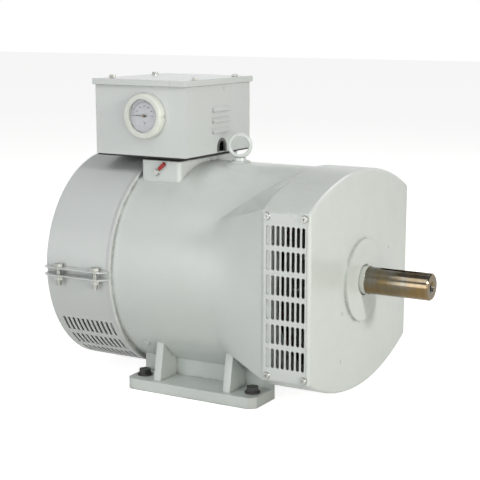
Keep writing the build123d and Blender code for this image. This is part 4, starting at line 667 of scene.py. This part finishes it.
zincFinish = {
    "metal": colour(188, 190, 188),
    "stain": colour(150, 143, 122),
    "bare": colour(214, 214, 210),
    "metallic": 1.0,
    "stainAmount": 0.5,
    "roughness": (0.26, 0.46),
    "edgeRadius": 0.0006,
    "cornerDirt": 0.7,
    "dust": 0.1,
    "bump": 0.000015,
}
darkSteelFinish = dict(
    zincFinish, metal=colour(72, 74, 78), stain=colour(96, 88, 80), bare=colour(140, 140, 140),
    stainAmount=0.6, metallic=0.9, roughness=(0.36, 0.58), dust=0.25, bump=0.00004,
)
bearingFinish = dict(
    zincFinish, metal=colour(208, 208, 210), stain=colour(190, 184, 168), bare=colour(228, 228, 228),
    stainAmount=0.25, roughness=(0.08, 0.16), cornerDirt=0.4, dust=0.0, bump=0.000004,
)
bronzeFinish = dict(
    zincFinish, metal=colour(196, 150, 92), stain=colour(150, 98, 58), bare=colour(222, 184, 122),
    stainAmount=0.6, roughness=(0.2, 0.36), dust=0.0,
)
fanFinish = dict(
    zincFinish, metal=colour(178, 180, 180), stain=colour(140, 142, 140), bare=colour(205, 206, 206),
    stainAmount=0.5, roughness=(0.42, 0.6), edgeRadius=0.0012, dust=0.3, bump=0.00008,
)


def mouldedMaterial(name, finish):
    material, tree, shader = newMaterial(name, Coat_Weight=finish["coat"], Coat_Roughness=0.15)
    soft = place(tree, groups["softEdge"], radius=finish["edgeRadius"])
    skin = place(
        tree, groups["mouldGrain"], color=finish["body"], wornColor=finish["worn"],
        grainSize=finish["grain"],
        edge=soft["Edge"], lowRoughness=finish["roughness"][0], highRoughness=finish["roughness"][1],
    )
    shadedGrime = place(
        tree, groups["grime"], color=skin["Color"], roughness=skin["Roughness"],
        cornerDirt=finish["cornerDirt"],
        cornerReach=0.004, dust=finish["dust"],
    )
    feed(tree, shader["Base Color"], shadedGrime["Color"])
    feed(tree, shader["Roughness"], shadedGrime["Roughness"])
    feed(tree, shader["Normal"], bump(tree, skin["Height"], soft["Normal"], finish["bump"]))
    return material


meterFinish = {
    "body": colour(220, 224, 216),
    "worn": colour(208, 212, 204),
    "grain": 0.0008,
    "roughness": (0.18, 0.27),
    "edgeRadius": 0.0012,
    "coat": 0.4,
    "cornerDirt": 0.5,
    "dust": 0.1,
    "bump": 0.00001,
}
phenolicFinish = dict(
    meterFinish, body=colour(36, 31, 27), worn=colour(58, 50, 44), grain=0.0005, roughness=(0.3, 0.48),
    coat=0.2,
)
carbonFinish = dict(
    meterFinish, body=colour(42, 42, 43), worn=colour(74, 74, 75), grain=0.0003, roughness=(0.5, 0.7),
    coat=0.0,
    bump=0.00003,
)
rubberFinish = dict(
    meterFinish, body=colour(28, 28, 28), worn=colour(52, 51, 49), grain=0.0005, roughness=(0.55, 0.75),
    coat=0.0,
    dust=0.4, bump=0.00004,
)
trimFinish = dict(rubberFinish, body=colour(112, 113, 110), worn=colour(134, 134, 130), dust=0.2)
sleeveFinish = dict(
    meterFinish, body=colour(168, 28, 24), worn=colour(140, 24, 22), grain=0.0007, roughness=(0.26, 0.4),
    coat=0.3,
    bump=0.00003,
)


def copperMaterial(finish):
    material, tree, shader = newMaterial(
        "enamelledCopper", Metallic=finish["metallic"], Coat_Weight=0.7, Coat_Roughness=0.2
    )
    wires = place(tree, groups["woundWire"], wire=finish["wire"])
    where = objectPlace(tree)
    base = mixColour(tree, wires["Tone"], finish["copper"], finish["darkCopper"])
    varnish = span(tree, noise(tree, where, 30, 3), 0.45, 0.75)
    base = mixColour(tree, calc(tree, "MULTIPLY", varnish, 0.5), base, finish["varnish"])
    gloss = span(tree, varnish, 0, 1, *finish["roughness"])
    shadedGrime = place(
        tree, groups["grime"], color=base, roughness=gloss, cornerDirt=0.7, cornerReach=0.006, dust=0.1
    )
    feed(tree, shader["Base Color"], shadedGrime["Color"])
    feed(tree, shader["Roughness"], shadedGrime["Roughness"])
    feed(tree, shader["Normal"], bump(tree, wires["Height"], None, finish["bump"]))
    return material


copperFinish = {
    "copper": colour(176, 98, 58),
    "darkCopper": colour(122, 58, 34),
    "varnish": colour(96, 50, 26),
    "metallic": 0.75,
    "roughness": (0.26, 0.42),
    "wire": 0.0014,
    "bump": 0.0006,
}


def coreMaterial(finish):
    material, tree, shader = newMaterial("laminatedCore", Metallic=finish["metallic"])
    sheets = place(tree, groups["sheetStack"], sheet=finish["sheet"])
    where = objectPlace(tree)
    rust = calc(tree, "MULTIPLY", span(tree, noise(tree, where, 48, 4, 0.65), 0.5, 0.72), finish["rust"])
    base = mixColour(tree, sheets["Tone"], finish["steel"], finish["darkSteel"])
    base = mixColour(tree, rust, base, finish["rustColour"])
    gloss = span(tree, rust, 0, 0.5, *finish["roughness"])
    shadedGrime = place(
        tree, groups["grime"], color=base, roughness=gloss, cornerDirt=0.6, cornerReach=0.006, dust=0.1
    )
    feed(tree, shader["Base Color"], shadedGrime["Color"])
    feed(tree, shader["Roughness"], shadedGrime["Roughness"])
    feed(tree, shader["Normal"], bump(tree, sheets["Height"], None, finish["bump"]))
    return material


coreFinish = {
    "steel": colour(112, 112, 114),
    "darkSteel": colour(74, 74, 78),
    "rustColour": colour(120, 84, 58),
    "metallic": 0.8,
    "roughness": (0.4, 0.65),
    "rust": 0.4,
    "sheet": 0.0005,
    "bump": 0.00008,
}


def dialMaterial(finish):
    material, tree, shader = newMaterial("printedDial")
    where = objectPlace(tree)
    fibres = noise(tree, where, 1200, 3, 0.7)
    aged = span(tree, noise(tree, where, 70, 3), 0.4, 0.8)
    feed(tree, shader["Base Color"], mixColour(tree, aged, finish["card"], finish["agedCard"]))
    feed(tree, shader["Roughness"], span(tree, fibres, 0.3, 0.7, 0.5, 0.66))
    feed(tree, shader["Normal"], bump(tree, fibres, None, 0.00001))
    return material


dialFinish = {"card": colour(199, 199, 205), "agedCard": colour(188, 188, 193)}


def inkMaterial(name, ink):
    material, tree, shader = newMaterial(name)
    spread = noise(tree, objectPlace(tree), 1500, 2)
    feed(tree, shader["Base Color"], mixColour(tree, span(tree, spread, 0.3, 0.7), ink, colour(52, 50, 50)))
    feed(tree, shader["Roughness"], span(tree, spread, 0.3, 0.7, 0.4, 0.6))
    return material


def glassMaterial(finish):
    material, tree, shader = newMaterial("meterGlass", Metallic=0.0, Transmission_Weight=1.0, IOR=1.45)
    where = objectPlace(tree)
    smear = span(tree, noise(tree, where, 55, 4, 0.6, 0.8), 0.45, 0.75, *finish["roughness"])
    feed(
        tree, shader["Base Color"],
        mixColour(tree, span(tree, smear, 0, 0.2), finish["clear"], finish["hazy"])
    )
    feed(tree, shader["Roughness"], smear)
    return material


glassFinish = {"clear": (0.97, 0.98, 0.98, 1), "hazy": (0.92, 0.92, 0.9, 1), "roughness": (0.02, 0.09)}

slotMaterials = {
    "casting_paint": enamelMaterial("castingEnamel", castingFinish),
    "sheet_paint": enamelMaterial("sheetEnamel", sheetFinish),
    "painted_fastener": enamelMaterial("fastenerEnamel", fastenerFinish),
    "shaft_steel": shaftMaterial(shaftFinish),
    "zinc": platedMaterial("zincPlate", zincFinish),
    "dark_steel": platedMaterial("darkSteel", darkSteelFinish),
    "core_steel": coreMaterial(coreFinish),
    "copper": copperMaterial(copperFinish),
    "bearing_steel": platedMaterial("bearingSteel", bearingFinish),
    "bronze": platedMaterial("turnedBronze", bronzeFinish),
    "carbon": mouldedMaterial("pressedCarbon", carbonFinish),
    "phenolic": mouldedMaterial("mouldedPhenolic", phenolicFinish),
    "fan_alloy": platedMaterial("castAlloy", fanFinish),
    "rubber": mouldedMaterial("mattRubber", rubberFinish),
    "trim_grey": mouldedMaterial("greyTrim", trimFinish),
    "meter_case": mouldedMaterial("meterCase", meterFinish),
    "dial_white": dialMaterial(dialFinish),
    "meter_glass": glassMaterial(glassFinish),
    "pointer_black": inkMaterial("pointerBlack", colour(24, 24, 26)),
    "red_sleeve": mouldedMaterial("redSleeve", sleeveFinish),
}

for part in frame["record"]["subparts"]:
    for holder in nodes[part["node"]].material_slots:
        holder.material = slotMaterials[part["material_slot"]]
print("materials:", len(slotMaterials))


def keep(name, mesh, body, slotName, material=None):
    piece = bpy.data.objects.new(name, mesh)
    bpy.context.scene.collection.objects.link(piece)
    mesh.materials.clear()
    mesh.materials.append(material or slotMaterials[slotName])
    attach(piece, body)
    return piece


# scale printed on the voltmeter's dial, in metres from its middle
meterScale = {
    "arcRadius": 0.0212,
    "tickLong": 0.0032,
    "tickShort": 0.0018,
    "tickWidth": 0.00034,
    "arcWidth": 0.00026,
    "boldTick": 1.5,
    "arcSteps": 72,
    "steps": 30,
    "stepsPerMark": 5,
    "marks": ("0", "50", "100", "150", "200", "250", "300"),
    "markRadius": 0.0152,
    "markSize": 0.0034,
    "unitSize": 0.0062,
    "unitDrop": 0.0115,
    "lift": 0.00008,
}


def textMesh(body, size):
    font = bpy.data.curves.new("dialText", "FONT")
    font.body, font.size = body, size
    font.align_x = font.align_y = "CENTER"
    font.resolution_u = 3
    holder = bpy.data.objects.new("dialText", font)
    mesh = bpy.data.meshes.new_from_object(holder)
    bpy.data.objects.remove(holder)
    bpy.data.curves.remove(font)
    return mesh


def makeMeterScale():
    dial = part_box("meter_dial")
    middleX, middleZ = machine["meterCentre"]
    frontY = dial[0].y - meterScale["lift"]
    built = bmesh.new()

    def flat(points):
        built.faces.new([built.verts.new((middleX + x, frontY, middleZ + z)) for x, z in points])

    outer = meterScale["arcRadius"]
    for step in range(meterScale["steps"] + 1):
        turn = math.pi * (1 - step / meterScale["steps"])
        out, across = Vector((math.cos(turn), math.sin(turn))), Vector((-math.sin(turn), math.cos(turn)))
        marked = step % meterScale["stepsPerMark"] == 0
        length = meterScale["tickLong"] if marked else meterScale["tickShort"]
        half = meterScale["tickWidth"] / 2 * (meterScale["boldTick"] if marked else 1)
        side, tip = across * half, out * (outer + length)
        flat([out * outer - side, out * outer + side, tip + side, tip - side])
    near = outer - meterScale["arcWidth"]
    for step in range(meterScale["arcSteps"]):
        first, second = (math.pi * (step + part) / meterScale["arcSteps"] for part in (0, 1))
        corners = ((near, first), (outer, first), (outer, second), (near, second))
        flat([(radius * math.cos(turn), radius * math.sin(turn)) for radius, turn in corners])
    words = []
    for index, mark in enumerate(meterScale["marks"]):
        turn = math.pi * (1 - index / (len(meterScale["marks"]) - 1))
        words.append((mark, meterScale["markSize"], meterScale["markRadius"], turn))
    words.append(("V", meterScale["unitSize"], meterScale["unitDrop"], -math.pi / 2))
    for body, size, radius, turn in words:
        mesh = textMesh(body, size)
        mesh.transform(Matrix.Rotation(math.pi / 2, 4, "X"))
        spot = (middleX + radius * math.cos(turn), frontY, middleZ + radius * math.sin(turn))
        mesh.transform(Matrix.Translation(spot))
        built.from_mesh(mesh)
        bpy.data.meshes.remove(mesh)
    mesh = bpy.data.meshes.new("meterScale")
    built.to_mesh(mesh)
    built.free()
    keep("meterScale", mesh, "stator", "pointer_black", slotMaterials["pointer_black"])


makeMeterScale()
print("meter scale printed")

# tapered needle with its hub and brass cap, in the place of the plain CAD pointer
meterNeedle = {
    "length": 0.0212,
    "tail": 0.0056,
    "rootWidth": 0.0011,
    "tipWidth": 0.00028,
    "thickness": 0.00045,
    "hubRadius": 0.0025,
    "tailShare": 0.8,
    "hubHeight": 0.0010,
    "hubLift": 0.0003,
    "hubBevel": 0.0003,
    "capRadius": 0.0012,
    "capHeight": 0.0005,
    "capLift": 0.0007,
    "capBevel": 0.0002,
    "segments": 32,
}


def addDisc(built, x, frontY, z, radius, height, segments, bevel):
    rings = []
    for y, r in ((frontY + height, radius), (frontY + bevel, radius), (frontY, radius - bevel)):
        turns = [2 * math.pi * n / segments for n in range(segments)]
        rings.append(
            [built.verts.new((x + r * math.cos(turn), y, z + r * math.sin(turn))) for turn in turns]
        )
    for lower, upper in zip(rings, rings[1:]):
        for n in range(segments):
            built.faces.new((lower[n], lower[(n + 1) % segments], upper[(n + 1) % segments], upper[n]))
    built.faces.new(rings[-1])
    built.faces.new(list(reversed(rings[0])))


def makeNeedle():
    low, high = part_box("meter_pointer")
    middleX, middleZ = machine["meterCentre"]
    frontY = low.y
    built = bmesh.new()
    tip, tail = -meterNeedle["length"], meterNeedle["tail"]
    tipHalf, rootHalf = meterNeedle["tipWidth"] / 2, meterNeedle["rootWidth"] / 2
    tailHalf = meterNeedle["rootWidth"] * meterNeedle["tailShare"]
    upper = [(tip, tipHalf), (0, rootHalf), (tail, tailHalf)]
    outline = upper + [(x, -z) for x, z in reversed(upper)]
    front = [built.verts.new((middleX + x, frontY, middleZ + z)) for x, z in outline]
    rear = [
        built.verts.new((middleX + x, frontY + meterNeedle["thickness"], middleZ + z))
        for x, z in outline
    ]
    built.faces.new(front)
    built.faces.new(list(reversed(rear)))
    for n in range(len(outline)):
        after = (n + 1) % len(outline)
        built.faces.new((front[n], rear[n], rear[after], front[after]))
    addDisc(
        built, middleX, frontY - meterNeedle["hubLift"], middleZ, meterNeedle["hubRadius"],
        meterNeedle["hubHeight"],
        meterNeedle["segments"], meterNeedle["hubBevel"],
    )
    bmesh.ops.recalc_face_normals(built, faces=built.faces)
    mesh = bpy.data.meshes.new("meterNeedle")
    built.to_mesh(mesh)
    built.free()
    needle = keep("meterNeedle", mesh, "meter_pointer", "pointer_black")
    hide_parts("meter_pointer")
    cap = bmesh.new()
    addDisc(
        cap, middleX, frontY - meterNeedle["capLift"], middleZ, meterNeedle["capRadius"],
        meterNeedle["capHeight"],
        meterNeedle["segments"], meterNeedle["capBevel"],
    )
    bmesh.ops.recalc_face_normals(cap, faces=cap.faces)
    mesh = bpy.data.meshes.new("needleCap")
    cap.to_mesh(mesh)
    cap.free()
    keep("needleCap", mesh, "meter_pointer", "bronze")


makeNeedle()

# rolled threads on the clamp bolts of the shroud
clampThread = {
    "pitch": 0.00125,
    "depth": 0.00042,
    "segments": 20,
    "boltRadius": 0.0040,
    "rootSink": 0.00015,
    "rootShare": 0.42,
    "crestShare": 0.08,
    "placesX": (-0.2195, -0.1485),
    "outside": 0.0095,
    "tailBand": (0.0004, 0.0085),
    "middleHalf": 0.0049,
}


def addThread(built, x, y, low, high, settings):
    turns = (high - low) / settings["pitch"]
    steps = max(2, int(turns * settings["segments"]))
    rows = []
    for step in range(steps + 1):
        turn = 2 * math.pi * turns * step / steps
        z = low + (high - low) * step / steps
        fade = min(1, step / settings["segments"], (steps - step) / settings["segments"])
        crest = settings["boltRadius"] + settings["depth"] * fade
        root = settings["boltRadius"] - settings["rootSink"]
        wide, narrow = settings["pitch"] * settings["rootShare"], settings["pitch"] * settings["crestShare"]
        profile = ((root, -wide), (crest, -narrow), (crest, narrow), (root, wide))
        rows.append([
            built.verts.new((x + r * math.cos(turn), y + r * math.sin(turn), z + rise)) for r,
            rise in profile
        ])
    for first, second in zip(rows, rows[1:]):
        for n in range(3):
            built.faces.new((first[n], second[n], second[n + 1], first[n + 1]))


def makeClampThreads():
    built = bmesh.new()
    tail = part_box("clamp_bolts")[0].z
    middle, half = machine["shaftHeight"], clampThread["middleHalf"]
    stretches = (tuple(tail + part for part in clampThread["tailBand"]), (middle - half, middle + half))
    for sideSign in (-1, 1):
        for x in clampThread["placesX"]:
            y = sideSign * (machine["shroudRadius"] + clampThread["outside"])
            for low, high in stretches:
                addThread(built, x, y, low, high, clampThread)
    for face in built.faces:
        face.smooth = True
    mesh = bpy.data.meshes.new("clampThreads")
    built.to_mesh(mesh)
    built.free()
    keep("clampThreads", mesh, "stator", "zinc")


makeClampThreads()
print("threads cut")

# floor, backdrop and lamps
studio = {
    "floorColour": (0.62, 0.62, 0.60, 1),
    "floorSize": 14,
    "floorGap": 0.0004,
    "floorGlow": 0.88,
    "floorMirrored": 0.45,
    "skyStrength": 0.06,
    "skyColour": (1.0, 1.0, 1.0, 1),
    "skyMirrored": (1.0, 0.2),
    "skyBand": (0.2, 0.5),
    "aim": (0, 0, 0.22),
    "lamps": {
        "keyLamp": {
            "place": (2.4, -0.55, 1.25),
            "size": 0.3,
            "power": 27.0,
            "colour": (1.0, 0.995, 0.96),
        },
        "highLamp": {
            "place": (-0.6, -1.7, 2.6),
            "size": 1.5,
            "power": 19.0,
            "colour": (0.99, 0.99, 1.0),
        },
        "crownLamp": {
            "place": (1.3, -1.1, 2.4),
            "size": 0.8,
            "power": 4.0,
            "colour": (1.0, 1.0, 1.0),
        },
        "sideLamp": {
            "place": (-0.6, -2.8, 0.6),
            "size": 1.6,
            "power": 26.0,
            "colour": (0.98, 0.99, 1.0),
        },
        "cameraLamp": {
            "place": (1.3, -2.2, 0.9),
            "size": 1.4,
            "power": 5.0,
            "colour": (0.98, 0.99, 1.0),
        },
        "lowLamp": {
            "place": (2.2, -1.35, 0.28),
            "size": 0.9,
            "power": 17.0,
            "colour": (1.0, 0.98, 0.86),
        },
        "backLamp": {
            "place": (0.2, 1.6, 2.4),
            "size": 1.5,
            "power": 25.0,
            "colour": (1.0, 1.0, 1.0),
        },
    },
}


def makeFloor():
    mesh = bpy.data.meshes.new("studioFloor")
    outline = bmesh.new()
    bmesh.ops.create_grid(outline, x_segments=1, y_segments=1, size=studio["floorSize"])
    outline.to_mesh(mesh)
    outline.free()
    floor = bpy.data.objects.new("studioFloor", mesh)
    floor.location.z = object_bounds()[0].z - studio["floorGap"]
    bpy.context.scene.collection.objects.link(floor)
    material = bpy.data.materials.new("studioFloor")
    material.use_nodes = True
    tree = material.node_tree
    tree.nodes.remove(tree.nodes["Principled BSDF"])
    base = put(tree, "BsdfDiffuse")
    base.inputs["Color"].default_value = studio["floorColour"]
    glow = put(tree, "Emission")
    light = put(tree, "LightPath")
    seen = calc(tree, "MAXIMUM", light.outputs["Is Camera Ray"], light.outputs["Is Transmission Ray"])
    seen = calc(tree, "MULTIPLY", seen, studio["floorGlow"])
    mirrored = calc(tree, "MULTIPLY", light.outputs["Is Glossy Ray"], studio["floorMirrored"])
    feed(tree, glow.inputs["Strength"], calc(tree, "MAXIMUM", seen, mirrored))
    both = put(tree, "AddShader")
    tree.links.new(base.outputs[0], both.inputs[0])
    tree.links.new(glow.outputs[0], both.inputs[1])
    tree.links.new(both.outputs[0], tree.nodes["Material Output"].inputs["Surface"])
    mesh.materials.append(material)


def makeSky():
    world = bpy.data.worlds.new("studioSky")
    bpy.context.scene.world = world
    world.use_nodes = True
    tree = world.node_tree
    light = put(tree, "LightPath")
    seen = calc(tree, "MAXIMUM", light.outputs["Is Camera Ray"], light.outputs["Is Transmission Ray"])
    high = split(tree, put(tree, "TexCoord").outputs["Generated"])[2]
    band = span(tree, high, *studio["skyBand"], *studio["skyMirrored"])
    mirrored = calc(tree, "MULTIPLY", light.outputs["Is Glossy Ray"], band)
    background = tree.nodes["Background"]
    background.inputs["Color"].default_value = studio["skyColour"]
    strength = calc(tree, "MAXIMUM", seen, mirrored)
    feed(tree, background.inputs["Strength"], calc(tree, "MAXIMUM", strength, studio["skyStrength"]))


def makeLamp(name, settings):
    lamp = bpy.data.lights.new(name, "AREA")
    lamp.shape = "SQUARE"
    lamp.size = settings["size"]
    lamp.energy = settings["power"]
    lamp.color = settings["colour"]
    where = settings["place"]
    holder = bpy.data.objects.new(name, lamp)
    bpy.context.scene.collection.objects.link(holder)
    holder.location = where
    holder.rotation_mode = "QUATERNION"
    holder.rotation_quaternion = (Vector(studio["aim"]) - Vector(where)).to_track_quat("-Z", "Y")


makeFloor()
makeSky()
for lampName, lampSettings in studio["lamps"].items():
    makeLamp(lampName, lampSettings)
print("studio lit")
